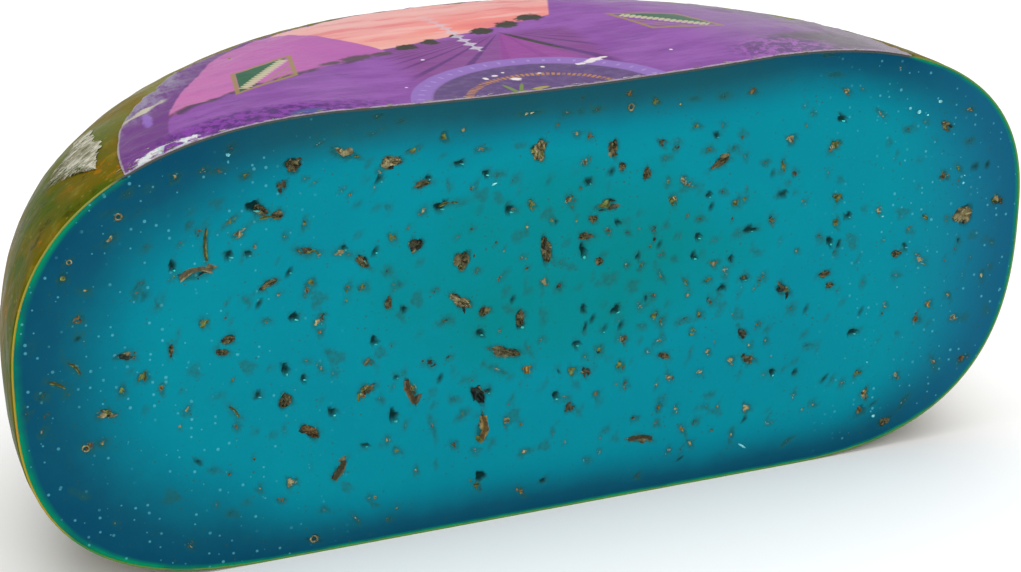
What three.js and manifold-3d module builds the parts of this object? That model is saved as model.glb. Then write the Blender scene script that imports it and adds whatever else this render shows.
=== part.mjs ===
// Half of a round wheel of cheese with lavender, standing on its underside, its cut face at the front.
// +Z is up and the cut face looks along -Y. The origin is the middle of the footprint's box, on the table.
import * as THREE from 'three';
import { mergeVertices } from 'three/addons/utils/BufferGeometryUtils.js';
import Module from 'manifold-3d';

const wasm = await Module();
wasm.setup();

// Driving dimensions, in millimetres.
const WHEEL_DIAMETER = 250;
const WHEEL_HEIGHT = 105;
const TOP_DIP = 1.2; // the middle of the top sinks a little below its rim
const TOP_TILT = 1.8; // how much higher the top would stand on the right edge than on the left

const BELLY_HEIGHT = 53.8; // where the wheel is widest
const BELLY_SHIFT = 4.2; // higher on the right, lower on the left
const UNDERSIDE_RADIUS = 63.6; // the flat that the wheel ripened on
const UNDERSIDE_SHIFT = -3.4;
const SHOULDER_RADIUS = 53.2; // where the top starts to fall away
const SHOULDER_SHIFT = 1.7;
const LOWER_FULLNESS = 2.66; // 2 is an ellipse, more is squarer
const UPPER_FULLNESS = 2.44;

const COAT_THICKNESS = 1.2;
const LABEL_THICKNESS = 0.35;
const LABEL_RADIUS = 95;
const LABEL_ACROSS = -3.4; // middle of the label, from the wheel's axis
const LABEL_BEHIND = -6.7;
const SCRAP_THICKNESS = 0.35;
const SCRAP_LENGTH = 38;
const SCRAP_SPREAD = 0.38; // its width, as a share of the bare strip between label and rim
const SCRAP_PLACE = 0.45; // its middle, along the way from the label's edge to the rim
const SCRAP_BEARING = 163; // degrees round from the right-hand end of the cut

const SEAT_GAP = 0.3; // clearance between pieces that touch
const BUD_SINK = 0.4; // how far a bud's middle lies behind the cut
const BUD_DEPTH_PER_WIDTH = 1.1;

// Smoothness of the round surfaces.
const AROUND_STEPS = 60;
const CORNER_STEPS = 8;
const TOP_STEPS = 3;
const BUD_AROUND_STEPS = 8;
const BUD_ALONG_STEPS = 6;
const LABEL_STEPS = 72;
const CLEAR = 10; // how far a cutting tool runs past what it cuts

const WHEEL_RADIUS = WHEEL_DIAMETER / 2;
const CUT_Y = -WHEEL_RADIUS / 2; // the wheel's axis lies in the cut
const QUARTER = Math.PI / 2;

// The lavender that the knife met, seen from the front: across is a percentage of the wheel's
// radius from its axis, up is a percentage of its height, long and wide are millimetres, and lean
// is in degrees, anticlockwise from level.
const BUDS = [
  { across: -49.2, up: 88.8, long: 3.4, wide: 3.2, lean: 0 },
  { across: -39.8, up: 90.0, long: 6.4, wide: 1.8, lean: -22 },
  { across: -31.4, up: 86.9, long: 4.8, wide: 2.4, lean: 5 },
  { across: -3.2, up: 85.3, long: 4.8, wide: 3.2, lean: 80 },
  { across: 11.4, up: 83.6, long: 4.0, wide: 2.2, lean: 90 },
  { across: 33.4, up: 77.2, long: 5.4, wide: 1.9, lean: 30 },
  { across: -67.2, up: 68.2, long: 7.2, wide: 1.8, lean: 8 },
  { across: -47.2, up: 69.8, long: 6.0, wide: 1.6, lean: -15 },
  { across: -27.0, up: 67.9, long: 3.4, wide: 2.6, lean: 20 },
  { across: -18.2, up: 62.9, long: 4.2, wide: 3.6, lean: 60 },
  { across: -1.8, up: 62.4, long: 6.2, wide: 2.4, lean: -82 },
  { across: 10.1, up: 70.8, long: 4.6, wide: 2.6, lean: 10 },
  { across: -18.6, up: 53.6, long: 6.0, wide: 2.2, lean: -35 },
  { across: -10.0, up: 40.2, long: 8.0, wide: 2.2, lean: -18 },
  { across: -14.6, up: 22.9, long: 6.2, wide: 2.0, lean: 85 },
  { across: -15.2, up: 30.9, long: 5.0, wide: 2.6, lean: -60 },
  { across: -28.3, up: 34.5, long: 6.2, wide: 1.8, lean: -70 },
  { across: -47.6, up: 28.9, long: 5.0, wide: 2.2, lean: -40 },
  { across: -52.0, up: 36.9, long: 3.4, wide: 3.0, lean: 60 },
  { across: 87.2, up: 56.2, long: 5.0, wide: 4.4, lean: 30 },
  { across: 47.7, up: 44.6, long: 4.6, wide: 2.4, lean: -38 },
  { across: 94.8, up: 58.8, long: 3.2, wide: 2.2, lean: -20 },
  { across: -84.2, up: 40.4, long: 4.2, wide: 1.9, lean: -5 },
  { across: -80.2, up: 52.6, long: 4.2, wide: 1.9, lean: -5 },
  { across: 82.0, up: 78.7, long: 3.0, wide: 2.0, lean: -35 },
  { across: 40.7, up: 28.6, long: 4.2, wide: 2.1, lean: -25 },
  { across: -42.4, up: 18.7, long: 5.0, wide: 1.7, lean: 55 },
  { across: -36.8, up: 36.4, long: 4.6, wide: 2.2, lean: 22 },
  { across: 67.1, up: 14.7, long: 3.2, wide: 1.8, lean: 85 },
  { across: 18.0, up: 13.5, long: 6.2, wide: 1.6, lean: -10 },
];

const FINISHES = {
  paste: new THREE.MeshStandardMaterial({ color: 0x0a868f, roughness: 0.55, metalness: 0 }),
  coat: new THREE.MeshStandardMaterial({ color: 0x5a5c14, roughness: 0.25, metalness: 0 }),
  label: new THREE.MeshStandardMaterial({ color: 0x7c4f95, roughness: 0.35, metalness: 0 }),
  scrap: new THREE.MeshStandardMaterial({ color: 0xa39f88, roughness: 0.8, metalness: 0 }),
  lavender: new THREE.MeshStandardMaterial({ color: 0x6b5a36, roughness: 0.9, metalness: 0 }),
};

// One meridian of the wheel, a skin's depth below its surface, from the underside's middle out,
// up and back in to the top's middle. The lower and upper corners are quarters of superellipses.
function meridian(bearing, depth) {
  const side = Math.cos(bearing);
  const underside = UNDERSIDE_RADIUS + UNDERSIDE_SHIFT * side;
  const shoulder = SHOULDER_RADIUS + SHOULDER_SHIFT * side;
  const belly = BELLY_HEIGHT + BELLY_SHIFT * side;
  const widest = WHEEL_RADIUS - depth;
  const outline = [new THREE.Vector2(0, depth)];
  for (let step = 0; step <= CORNER_STEPS; step++) {
    const turn = QUARTER * (step / CORNER_STEPS);
    const out = Math.sin(turn) ** (2 / LOWER_FULLNESS);
    const down = Math.max(0, Math.cos(turn)) ** (2 / LOWER_FULLNESS);
    outline.push(new THREE.Vector2(underside + (widest - underside) * out, belly - (belly - depth) * down));
  }
  for (let step = 1; step <= CORNER_STEPS; step++) {
    const turn = QUARTER * (step / CORNER_STEPS);
    const out = Math.max(0, Math.cos(turn)) ** (2 / UPPER_FULLNESS);
    const up = Math.sin(turn) ** (2 / UPPER_FULLNESS);
    const top = WHEEL_HEIGHT - depth;
    outline.push(new THREE.Vector2(shoulder + (widest - shoulder) * out, belly + (top - belly) * up));
  }
  for (let step = 1; step <= TOP_STEPS; step++) {
    const share = 1 - step / TOP_STEPS;
    const dip = TOP_DIP * (1 - share * share);
    outline.push(new THREE.Vector2(shoulder * share, WHEEL_HEIGHT - depth - dip));
  }
  for (const point of outline) {
    const lift = (TOP_TILT / WHEEL_DIAMETER) * point.x * side;
    point.y += lift * (point.y / WHEEL_HEIGHT);
  }
  return outline;
}

// A solid from a closed geometry: only positions, shared corners merged, no empty triangles.
function solidOf(geometry) {
  const bare = geometry.clone();
  bare.deleteAttribute('normal');
  bare.deleteAttribute('uv');
  const merged = mergeVertices(bare, 1e-4);
  const corners = merged.index.array;
  const kept = [];
  for (let first = 0; first < corners.length; first += 3) {
    const [a, b, c] = corners.slice(first, first + 3);
    if (a !== b && b !== c && c !== a) kept.push(a, b, c);
  }
  const vertProperties = new Float32Array(merged.attributes.position.array);
  return new wasm.Manifold(new wasm.Mesh({ numProp: 3, vertProperties, triVerts: new Uint32Array(kept) }));
}

// The whole wheel, a skin's depth below its surface.
function wheelSolid(depth) {
  const geometry = new THREE.LatheGeometry(meridian(0, depth), AROUND_STEPS);
  const corners = geometry.attributes.position;
  let place = 0;
  for (let turn = 0; turn <= AROUND_STEPS; turn++) {
    const bearing = 4 * QUARTER * ((turn % AROUND_STEPS) / AROUND_STEPS);
    for (const point of meridian(bearing, depth)) {
      const across = point.x * Math.cos(bearing);
      const behind = point.x * Math.sin(bearing);
      corners.setXYZ(place, across, CUT_Y + behind, point.y);
      place += 1;
    }
  }
  return solidOf(geometry);
}

// A block that holds everything behind the cut.
function behindTheCut() {
  const width = WHEEL_DIAMETER + 2 * CLEAR;
  const height = WHEEL_HEIGHT + 4 * CLEAR;
  const block = new THREE.BoxGeometry(width, WHEEL_DIAMETER, height);
  block.translate(0, CUT_Y + WHEEL_RADIUS, WHEEL_HEIGHT / 2);
  return solidOf(block);
}

// An upright oval column over the upper part of the wheel, for pieces that lie on its skin.
function columnOver(across, behind, halfLength, halfWidth, bearing) {
  const height = WHEEL_HEIGHT - BELLY_HEIGHT + CLEAR;
  const column = new THREE.CylinderGeometry(1, 1, height, LABEL_STEPS);
  column.rotateX(QUARTER);
  column.scale(halfLength, halfWidth, 1);
  column.rotateZ(bearing);
  column.translate(across, CUT_Y + behind, BELLY_HEIGHT + height / 2);
  return solidOf(column);
}

function labelColumn(growth) {
  const radius = LABEL_RADIUS + growth;
  return columnOver(LABEL_ACROSS, LABEL_BEHIND, radius, radius, 0);
}

// How far the label reaches from the wheel's axis, in one direction.
function labelReach(bearing) {
  const along = LABEL_ACROSS * Math.cos(bearing) + LABEL_BEHIND * Math.sin(bearing);
  const aside = LABEL_ACROSS * Math.sin(bearing) - LABEL_BEHIND * Math.cos(bearing);
  return along + Math.sqrt(LABEL_RADIUS ** 2 - aside ** 2);
}

function scrapColumn(growth) {
  const bearing = THREE.MathUtils.degToRad(SCRAP_BEARING);
  const strip = WHEEL_RADIUS - labelReach(bearing);
  const reach = labelReach(bearing) + SCRAP_PLACE * strip;
  const halfWidth = (SCRAP_SPREAD * strip) / 2 + growth;
  const across = reach * Math.cos(bearing);
  const behind = reach * Math.sin(bearing);
  return columnOver(across, behind, SCRAP_LENGTH / 2 + growth, halfWidth, bearing + QUARTER);
}

// One bit of lavender, rounded and a little longer than wide, still whole.
function budSolid(bud, growth) {
  const ball = new THREE.SphereGeometry(1, BUD_AROUND_STEPS, BUD_ALONG_STEPS);
  const halfDepth = (bud.wide * BUD_DEPTH_PER_WIDTH) / 2;
  ball.rotateX(QUARTER);
  ball.scale(bud.long / 2 + growth, halfDepth + growth, bud.wide / 2 + growth);
  ball.rotateY(-THREE.MathUtils.degToRad(bud.lean));
  const across = (bud.across / 100) * WHEEL_RADIUS;
  const up = (bud.up / 100) * WHEEL_HEIGHT;
  ball.translate(across, CUT_Y + BUD_SINK, up);
  return solidOf(ball);
}

function meshOf(name, solid, finish) {
  const { vertProperties, triVerts } = solid.getMesh();
  const geometry = new THREE.BufferGeometry();
  geometry.setAttribute('position', new THREE.BufferAttribute(vertProperties, 3));
  geometry.setIndex(new THREE.BufferAttribute(triVerts, 1));
  const mesh = new THREE.Mesh(geometry, finish);
  mesh.name = name;
  return mesh;
}

const half = behindTheCut();
const outside = wheelSolid(0);
const aroundOutside = wheelSolid(-CLEAR);

// A piece that lies in the skin, flush with it, and the seat that it lies in.
function inlay(column, thickness) {
  return outside.subtract(wheelSolid(thickness)).intersect(column).intersect(half);
}

function seatFor(column, thickness) {
  return aroundOutside.subtract(wheelSolid(thickness + SEAT_GAP)).intersect(column);
}

function cheesePaste() {
  let paste = wheelSolid(COAT_THICKNESS + SEAT_GAP).intersect(half);
  for (const bud of BUDS) paste = paste.subtract(budSolid(bud, SEAT_GAP));
  return paste;
}

function rindCoating() {
  const labelSeat = seatFor(labelColumn(SEAT_GAP), LABEL_THICKNESS);
  const scrapSeat = seatFor(scrapColumn(SEAT_GAP), SCRAP_THICKNESS);
  const shell = outside.subtract(wheelSolid(COAT_THICKNESS)).intersect(half);
  return shell.subtract(labelSeat).subtract(scrapSeat);
}

const cheese = new THREE.Group();
cheese.add(meshOf('cheese_paste', cheesePaste(), FINISHES.paste));
cheese.add(meshOf('rind_coating', rindCoating(), FINISHES.coat));
cheese.add(meshOf('top_label', inlay(labelColumn(0), LABEL_THICKNESS), FINISHES.label));
cheese.add(meshOf('torn_scrap', inlay(scrapColumn(0), SCRAP_THICKNESS), FINISHES.scrap));
BUDS.forEach((bud, order) => {
  const name = `lavender_bud_${String(order + 1).padStart(2, '0')}`;
  cheese.add(meshOf(name, budSolid(bud, 0).intersect(half), FINISHES.lavender));
});

export default cheese;
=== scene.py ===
"""Half of a round wheel of blue-green lavender cheese, standing on its underside, cut face to the front.

Sizes are in wheel millimetres: X to the right along the cut, Y back from the cut, Z up from the table,
measured from the wheel's axis. Each piece is settled into the frame, in metres, when it is finished.
"""

import logging
import math
from collections.abc import Callable, Iterable, Sequence
from dataclasses import dataclass, field
from enum import Enum

import bmesh
import bpy
import numpy as np
from mathutils import Matrix, Vector, noise

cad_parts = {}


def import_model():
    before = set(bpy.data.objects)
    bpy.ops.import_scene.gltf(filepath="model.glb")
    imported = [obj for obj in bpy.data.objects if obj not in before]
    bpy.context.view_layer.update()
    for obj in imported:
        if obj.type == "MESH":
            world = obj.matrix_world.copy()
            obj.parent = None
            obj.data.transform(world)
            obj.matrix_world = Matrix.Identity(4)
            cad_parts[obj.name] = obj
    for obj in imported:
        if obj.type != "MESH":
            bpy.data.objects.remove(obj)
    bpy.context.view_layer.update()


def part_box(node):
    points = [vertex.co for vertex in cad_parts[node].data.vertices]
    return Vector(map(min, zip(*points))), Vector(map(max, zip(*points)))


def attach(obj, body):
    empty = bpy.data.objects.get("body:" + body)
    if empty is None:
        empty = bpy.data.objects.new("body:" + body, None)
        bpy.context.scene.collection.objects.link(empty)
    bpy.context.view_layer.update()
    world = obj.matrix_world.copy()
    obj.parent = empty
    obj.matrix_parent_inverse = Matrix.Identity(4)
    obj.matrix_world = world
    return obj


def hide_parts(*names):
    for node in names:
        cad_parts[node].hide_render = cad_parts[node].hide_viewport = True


LOG = logging.getLogger("cheese")
BODY = "root"

MM = 0.001
QUARTER = math.pi / 2
# Slack for rounding, and how near two corners are one, in millimetres.
NEARLY = 1e-6
DOUBLED = 0.01
# How many points of an outline are measured at once.
CHUNK = 64
# Grain of a ragged printed edge in millimetres, and half the blur of a sector's edge in degrees.
EDGE_GRAIN = 1.6
SECTOR_EDGE = 0.25

# Names of what a mesh keeps for its material to read.
TINT = "tint"
RIPENESS = "ripeness"
STAIN = "stain"
HOLLOW = "hollow"
RIM = "rim"

# Short names for types.
Array = np.ndarray
Colour = tuple[float, float, float]
Corner = bmesh.types.BMVert
Shape = bmesh.types.BMesh
Piece = bpy.types.Object
Material = bpy.types.Material
Draw = np.random.RandomState
Socket = bpy.types.NodeSocket
Feed = Socket | float | Sequence[float]


def ease(share: Array | float, fullness: float) -> Array | float:
    """Spread shares of a rounded corner so that points on it stand evenly apart.

    Args:
        share: way along the corner, 0 to 1.
        fullness: 1 leaves the share as it is, more draws points away from both ends.

    Returns:
        The share of the quarter turn, 0 to 1.
    """
    near = np.clip(share, 0.0, 1.0) ** fullness
    far = (1.0 - np.clip(share, 0.0, 1.0)) ** fullness
    return near / (near + far)


def smooth(value: Array | float, low: float, high: float) -> Array | float:
    """Rise smoothly from 0 at low to 1 at high.

    Args:
        value: what is judged.
        low: where the rise starts.
        high: where it ends; it may be less than low.

    Returns:
        A share from 0 to 1.
    """
    share = np.clip((value - low) / (high - low), 0.0, 1.0)
    return share * share * (3.0 - 2.0 * share)


@dataclass(frozen=True)
class WheelForm:
    """The outside of the whole wheel, whose corners are quarters of superellipses."""

    radius: float
    cut_y: float
    height: float = 105.0
    top_dip: float = 1.2
    top_tilt: float = 1.8
    belly: float = 53.8
    belly_shift: float = 4.2
    underside: float = 63.6
    underside_shift: float = -3.4
    shoulder: float = 53.2
    shoulder_shift: float = 1.7
    lower_fullness: float = 2.66
    upper_fullness: float = 2.44
    coat: float = 0.45
    label_radius: float = 95.0
    label_x: float = -3.4
    label_y: float = -6.7
    label_seat: float = 0.34

    @classmethod
    def from_frame(cls) -> "WheelForm":
        """Take the radius and the place of the cut from the CAD nodes."""
        low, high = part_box("rind_coating")
        front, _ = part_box("cheese_paste")
        return cls(radius=(high.x - low.x) / 2 / MM, cut_y=front.y / MM)

    def lift(self, x: Array, height: Array) -> Array:
        """Tilt a height, because the wheel stands a little higher on its right."""
        return height * (1.0 + self.top_tilt / (2.0 * self.radius) * x / self.height)

    def corner(self, bearing: Array, level: Array, depth: Array | float) -> tuple[Array, Array]:
        """Find a point on the wheel's rounded side.

        Args:
            bearing: angle round from the right-hand end of the cut, in radians.
            level: 0 at the underside's edge to 1 at the top's edge.
            depth: how far below the outer skin.

        Returns:
            Distance from the axis and height.
        """
        side = np.cos(bearing)
        underside = self.underside + self.underside_shift * side
        shoulder = self.shoulder + self.shoulder_shift * side
        belly = self.belly + self.belly_shift * side
        widest = self.radius - depth
        low_turn = QUARTER * ease(level * 2.0, self.lower_fullness / 2)
        high_turn = QUARTER * ease(level * 2.0 - 1.0, self.upper_fullness / 2)
        low_out = underside + (widest - underside) * np.sin(low_turn) ** (2 / self.lower_fullness)
        low_up = belly - (belly - depth) * np.abs(np.cos(low_turn)) ** (2 / self.lower_fullness)
        high_out = shoulder + (widest - shoulder) * np.abs(np.cos(high_turn)) ** (2 / self.upper_fullness)
        high_up = belly + (self.height - depth - belly) * np.sin(high_turn) ** (2 / self.upper_fullness)
        lower = level < 0.5
        out = np.where(lower, low_out, high_out)
        return out, self.lift(out * side, np.where(lower, low_up, high_up))

    def top(self, x: Array, y: Array, depth: Array | float = 0.0) -> Array:
        """Find the height of the upper side.

        Args:
            x: place to the right of the axis.
            y: place behind the cut.
            depth: how far below the outer skin.

        Returns:
            The height there.
        """
        out = np.hypot(x, y)
        side = x / np.maximum(out, NEARLY)
        shoulder = self.shoulder + self.shoulder_shift * side
        belly = self.belly + self.belly_shift * side
        past = np.clip((out - shoulder) / (self.radius - depth - shoulder), 0.0, 1.0)
        share = np.clip(out / shoulder, 0.0, 1.0)
        rise = (self.height - depth - belly) * (1.0 - past**self.upper_fullness) ** (1 / self.upper_fullness)
        return self.lift(x, belly + rise - self.top_dip * (1.0 - share**2))

    def top_at(self, x: float, y: float) -> float:
        """Find the height of the upper side at one place."""
        return float(self.top(np.float64(x), np.float64(y)))

    def under_label(self, x: Array, y: Array) -> Array:
        """Say how surely a place on the upper side is under the label, from 0 to 1."""
        reach = np.hypot(x - self.label_x, y - self.label_y)
        return smooth(reach, self.label_radius + 0.9, self.label_radius - 0.6)

    def outline(self, depth: float, steps: int = 260) -> Array:
        """Walk round the cut's edge.

        Args:
            depth: how far below the outer skin.
            steps: points up each end.

        Returns:
            Points as rows of x and z.
        """
        level = np.linspace(0.0, 1.0, steps)
        right_out, right_up = self.corner(np.zeros(steps), level, depth)
        left_out, left_up = self.corner(np.full(steps, math.pi), level, depth)
        across = np.linspace(-left_out[-1], right_out[-1], steps)
        under = np.linspace(-left_out[0], right_out[0], steps)
        return np.concatenate([
            np.stack([right_out, right_up], 1),
            np.stack([-left_out, left_up], 1),
            np.stack([across, self.top(across, np.zeros(steps), depth)], 1),
            np.stack([under, np.full(steps, depth)], 1),
        ])

    def rind_distance(self, x: Array, z: Array, depth: float) -> Array:
        """Measure how far places on the cut are from its edge.

        Args:
            x: places to the right of the axis.
            z: their heights.
            depth: how far the edge lies below the outer skin.

        Returns:
            The distances.
        """
        edge = self.outline(depth)
        nearest = np.full(len(x), np.inf)
        for start in range(0, len(edge), CHUNK):
            part = edge[start:start + CHUNK]
            apart = np.hypot(x[:, None] - part[None, :, 0], z[:, None] - part[None, :, 1])
            nearest = np.minimum(nearest, apart.min(1))
        return nearest


def places(corners: Iterable[Corner]) -> Array:
    """Read the places of corners as rows of x, y and z."""
    return np.array([corner.co for corner in corners], float).reshape(-1, 3)


def put(corners: Iterable[Corner], *values: Array) -> None:
    """Move each corner to its own x, y and z."""
    for corner, row in zip(corners, np.stack(values, 1)):
        corner.co = row


def lay_grid(mesh: Shape, columns: int, rows: int) -> tuple[list[Corner], Array, Array]:
    """Lay a grid, to be bent into a surface.

    Args:
        mesh: where it is laid.
        columns: its cells along X.
        rows: its cells along Y.

    Returns:
        Its corners, and the share of the way along X and along Y at each, 0 to 1.
    """
    made = bmesh.ops.create_grid(mesh, x_segments=columns, y_segments=rows, size=1.0)["verts"]
    shares = (places(made) + 1) / 2
    return made, shares[:, 0], shares[:, 1]


def write_layer(mesh: Shape, name: str, values: Array) -> None:
    """Keep one number a corner, for a material to read."""
    layer = mesh.verts.layers.float.get(name) or mesh.verts.layers.float.new(name)
    for corner, value in zip(mesh.verts, values):
        corner[layer] = float(value)


def paint(mesh: Shape, colour: Colour, corners: Iterable[Corner] | None = None) -> None:
    """Give corners one tint.

    Args:
        mesh: the mesh that they belong to.
        colour: linear red, green and blue.
        corners: which ones; all of them if left out.
    """
    layer = mesh.verts.layers.float_color.get(TINT) or mesh.verts.layers.float_color.new(TINT)
    for corner in mesh.verts if corners is None else corners:
        corner[layer] = (*colour, 1.0)


def join(whole: Shape, part: Shape) -> None:
    """Add a finished part to a mesh and free it."""
    shaped = bpy.data.meshes.new("shaped")
    part.to_mesh(shaped)
    part.free()
    whole.from_mesh(shaped)
    bpy.data.meshes.remove(shaped)


def face_out(mesh: Shape) -> None:
    """Turn all faces outwards."""
    bmesh.ops.recalc_face_normals(mesh, faces=mesh.faces[:])


def close_up(mesh: Shape, gap: float = DOUBLED) -> None:
    """Merge doubled corners, then turn all faces outwards."""
    bmesh.ops.remove_doubles(mesh, verts=mesh.verts[:], dist=gap)
    face_out(mesh)


def face_up(mesh: Shape) -> None:
    """Merge a sheet's doubled corners, then turn its faces upwards."""
    bmesh.ops.remove_doubles(mesh, verts=mesh.verts[:], dist=DOUBLED)
    for face in mesh.faces:
        if face.normal.z < 0:
            face.normal_flip()


def rough(point: Sequence[float], size: float, seed: float = 0.0, octaves: int = 3) -> float:
    """Sample steady roughness at a point.

    Args:
        point: place in millimetres.
        size: width of the largest bumps in millimetres.
        seed: shifts the pattern.
        octaves: how many finer layers are added.

    Returns:
        A value of about -1 to 1.
    """
    moved = Vector(point) / size + Vector((seed, seed * 1.7, seed * 0.6))
    return noise.fractal(moved, 0.6, 2.1, octaves, noise_basis="PERLIN_ORIGINAL")


@dataclass
class Settler:
    """Turns a finished bmesh into an object that stands in the frame."""

    form: WheelForm

    def settle(
        self,
        mesh: Shape,
        name: str,
        finishes: Sequence[Material],
        slot: str,
        replaced: Sequence[str] = (),
        rounded: bool = True,
    ) -> Piece:
        """Place a mesh in the frame and make it a piece.

        Args:
            mesh: the piece in wheel millimetres; it is freed.
            name: the piece's name.
            finishes: its materials, in the order of its faces' indices.
            slot: the record's material slot; it is not used.
            replaced: CAD nodes that it stands for.
            rounded: whether its faces are shaded smooth.

        Returns:
            The new object.
        """
        into_frame = Matrix.Scale(MM, 4) @ Matrix.Translation((0.0, self.form.cut_y, 0.0))
        bmesh.ops.transform(mesh, matrix=into_frame, verts=mesh.verts[:])
        for face in mesh.faces:
            face.smooth = rounded
        data = bpy.data.meshes.new(name)
        mesh.to_mesh(data)
        mesh.free()
        for finish in finishes:
            data.materials.append(finish)
        piece = bpy.data.objects.new(name, data)
        bpy.context.scene.collection.objects.link(piece)
        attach(piece, BODY)
        if replaced:
            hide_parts(*replaced)
        LOG.info("%s: %d corners, %d faces", name, len(data.vertices), len(data.polygons))
        return piece


@dataclass
class Part:
    """What every part of the cheese is given: the wheel's form and the settler of pieces."""

    form: WheelForm
    settler: Settler


def thicken(piece: Piece, thickness: float, rim: int) -> None:
    """Give a sheet its thickness, inwards from its outer side.

    Args:
        piece: the sheet, faces outwards.
        thickness: in millimetres.
        rim: material index offset of its edge.
    """
    wall = piece.modifiers.new("thickness", "SOLIDIFY")
    wall.thickness = thickness * MM
    wall.offset = -1.0
    wall.material_offset_rim = rim


class Bench:
    """Sets out the nodes of one procedural material."""

    def __init__(self, name: str, cut_y: float) -> None:
        """Start a material whose places are wheel millimetres.

        Args:
            name: the material's name.
            cut_y: where the cut stands in the frame, in millimetres.
        """
        self.material = bpy.data.materials.new(name)
        self.material.use_nodes = True
        self.tree = self.material.node_tree
        self.shader = self.tree.nodes["Principled BSDF"]
        coordinates = self.tree.nodes.new("ShaderNodeTexCoord")
        metres = coordinates.outputs["Object"]
        self.place = self.vector("MULTIPLY_ADD", metres, (1 / MM,) * 3, (0.0, -cut_y, 0.0))
        split = self.tree.nodes.new("ShaderNodeSeparateXYZ")
        self.feed(split.inputs[0], self.place)
        self.x, self.y, self.z = split.outputs

    def feed(self, socket: Socket, value: Feed) -> None:
        """Link a value to a socket, or write it there if it is constant."""
        if isinstance(value, bpy.types.NodeSocket):
            self.tree.links.new(value, socket)
        else:
            socket.default_value = value

    def set(self, **values: Feed) -> None:
        """Feed the shader's sockets, named with underscores for spaces."""
        for name, value in values.items():
            self.feed(self.shader.inputs[name.replace("_", " ")], value)

    def math(self, operation: str, *values: Feed, clamp: bool = False) -> Socket:
        """Work out a number from one to three others."""
        node = self.tree.nodes.new("ShaderNodeMath")
        node.operation = operation
        node.use_clamp = clamp
        for socket, value in zip(node.inputs, values):
            self.feed(socket, value)
        return node.outputs[0]

    def times(self, *values: Feed) -> Socket:
        """Multiply two or more numbers."""
        product = values[0]
        for value in values[1:]:
            product = self.math("MULTIPLY", product, value)
        return product

    def gap(self, value: Feed, middle: Feed) -> Socket:
        """Measure how far a number is from another, either way."""
        return self.math("ABSOLUTE", self.math("SUBTRACT", value, middle))

    def span(self, across: Feed, along: Feed) -> Socket:
        """Work out the length of a slanted line from its two legs."""
        squares = self.math("ADD", self.math("POWER", across, 2.0), self.math("POWER", along, 2.0))
        return self.math("SQRT", squares)

    def shake(self, value: Feed, unrest: Socket, strength: float, clamp: bool = False) -> Socket:
        """Shift a number by how far a noise is from its middle."""
        swing = self.math("SUBTRACT", unrest, 0.5)
        return self.math("MULTIPLY_ADD", swing, strength, value, clamp=clamp)

    def within(self, value: Feed, outer: float, inner: float, middle: float = 0.0) -> Socket:
        """Mask what is nearer than outer to a middle, wholly so from inner on."""
        away = self.gap(value, middle) if middle else self.math("ABSOLUTE", value)
        return self.spread(away, outer, inner)

    def vector(self, operation: str, *values: Feed) -> Socket:
        """Work out a vector from one to three others."""
        node = self.tree.nodes.new("ShaderNodeVectorMath")
        node.operation = operation
        for socket, value in zip(node.inputs, values):
            self.feed(socket, value)
        return node.outputs["Vector"]

    def spread(self, value: Feed, low: float, high: float, first: float = 0.0, last: float = 1.0) -> Socket:
        """Rise smoothly from first at low to last at high; high may be less than low."""
        node = self.tree.nodes.new("ShaderNodeMapRange")
        node.interpolation_type = "SMOOTHSTEP"
        backwards = low > high
        limits = (high, low, last, first) if backwards else (low, high, first, last)
        self.feed(node.inputs["Value"], value)
        for name, limit in zip(("From Min", "From Max", "To Min", "To Max"), limits):
            node.inputs[name].default_value = limit
        return node.outputs["Result"]

    def noise(
        self, size: float, detail: float = 3.0, roughness: float = 0.55, stretch: Colour = (1.0, 1.0, 1.0),
    ) -> Socket:
        """Make soft noise.

        Args:
            size: width of its largest patches, in millimetres.
            detail: finer layers.
            roughness: how strong they are.
            stretch: how many times longer the patches are on each axis.

        Returns:
            A value about 0.5.
        """
        node = self.tree.nodes.new("ShaderNodeTexNoise")
        scaled = self.vector("DIVIDE", self.place, tuple(size * part for part in stretch))
        self.feed(node.inputs["Vector"], scaled)
        node.inputs["Scale"].default_value = 1.0
        node.inputs["Detail"].default_value = detail
        node.inputs["Roughness"].default_value = roughness
        return node.outputs["Fac"]

    def cells(self, size: float, upright: bool = True) -> tuple[Socket, Socket]:
        """Make scattered cells.

        Args:
            size: their width in millimetres.
            upright: whether they lie flat in the cut, and are not solid.

        Returns:
            Distance from the cell's point, and a random number a cell.
        """
        node = self.tree.nodes.new("ShaderNodeTexVoronoi")
        place = self.vector("DIVIDE", self.place, (size, size, size))
        if upright:
            node.voronoi_dimensions = "2D"
            turned = self.tree.nodes.new("ShaderNodeCombineXYZ")
            parts = self.tree.nodes.new("ShaderNodeSeparateXYZ")
            self.feed(parts.inputs[0], place)
            self.feed(turned.inputs[0], parts.outputs[0])
            self.feed(turned.inputs[1], parts.outputs[2])
            place = turned.outputs[0]
        self.feed(node.inputs["Vector"], place)
        node.inputs["Scale"].default_value = 1.0
        split = self.tree.nodes.new("ShaderNodeSeparateXYZ")
        self.feed(split.inputs[0], node.outputs["Color"])
        return node.outputs["Distance"], split.outputs[0]

    def blend(self, share: Feed, under: Feed, over: Feed, how: str = "MIX") -> Socket:
        """Lay one colour over another.

        Args:
            share: how much of the upper one shows.
            under: the lower colour.
            over: the upper colour.
            how: Blender's name for the way they mix.

        Returns:
            The colour that results.
        """
        node = self.tree.nodes.new("ShaderNodeMix")
        node.data_type = "RGBA"
        node.blend_type = how
        self.feed(node.inputs[0], share)
        for socket, value in ((node.inputs[6], under), (node.inputs[7], over)):
            self.feed(socket, value if isinstance(value, bpy.types.NodeSocket) else (*value, 1.0))
        return node.outputs[2]

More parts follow.
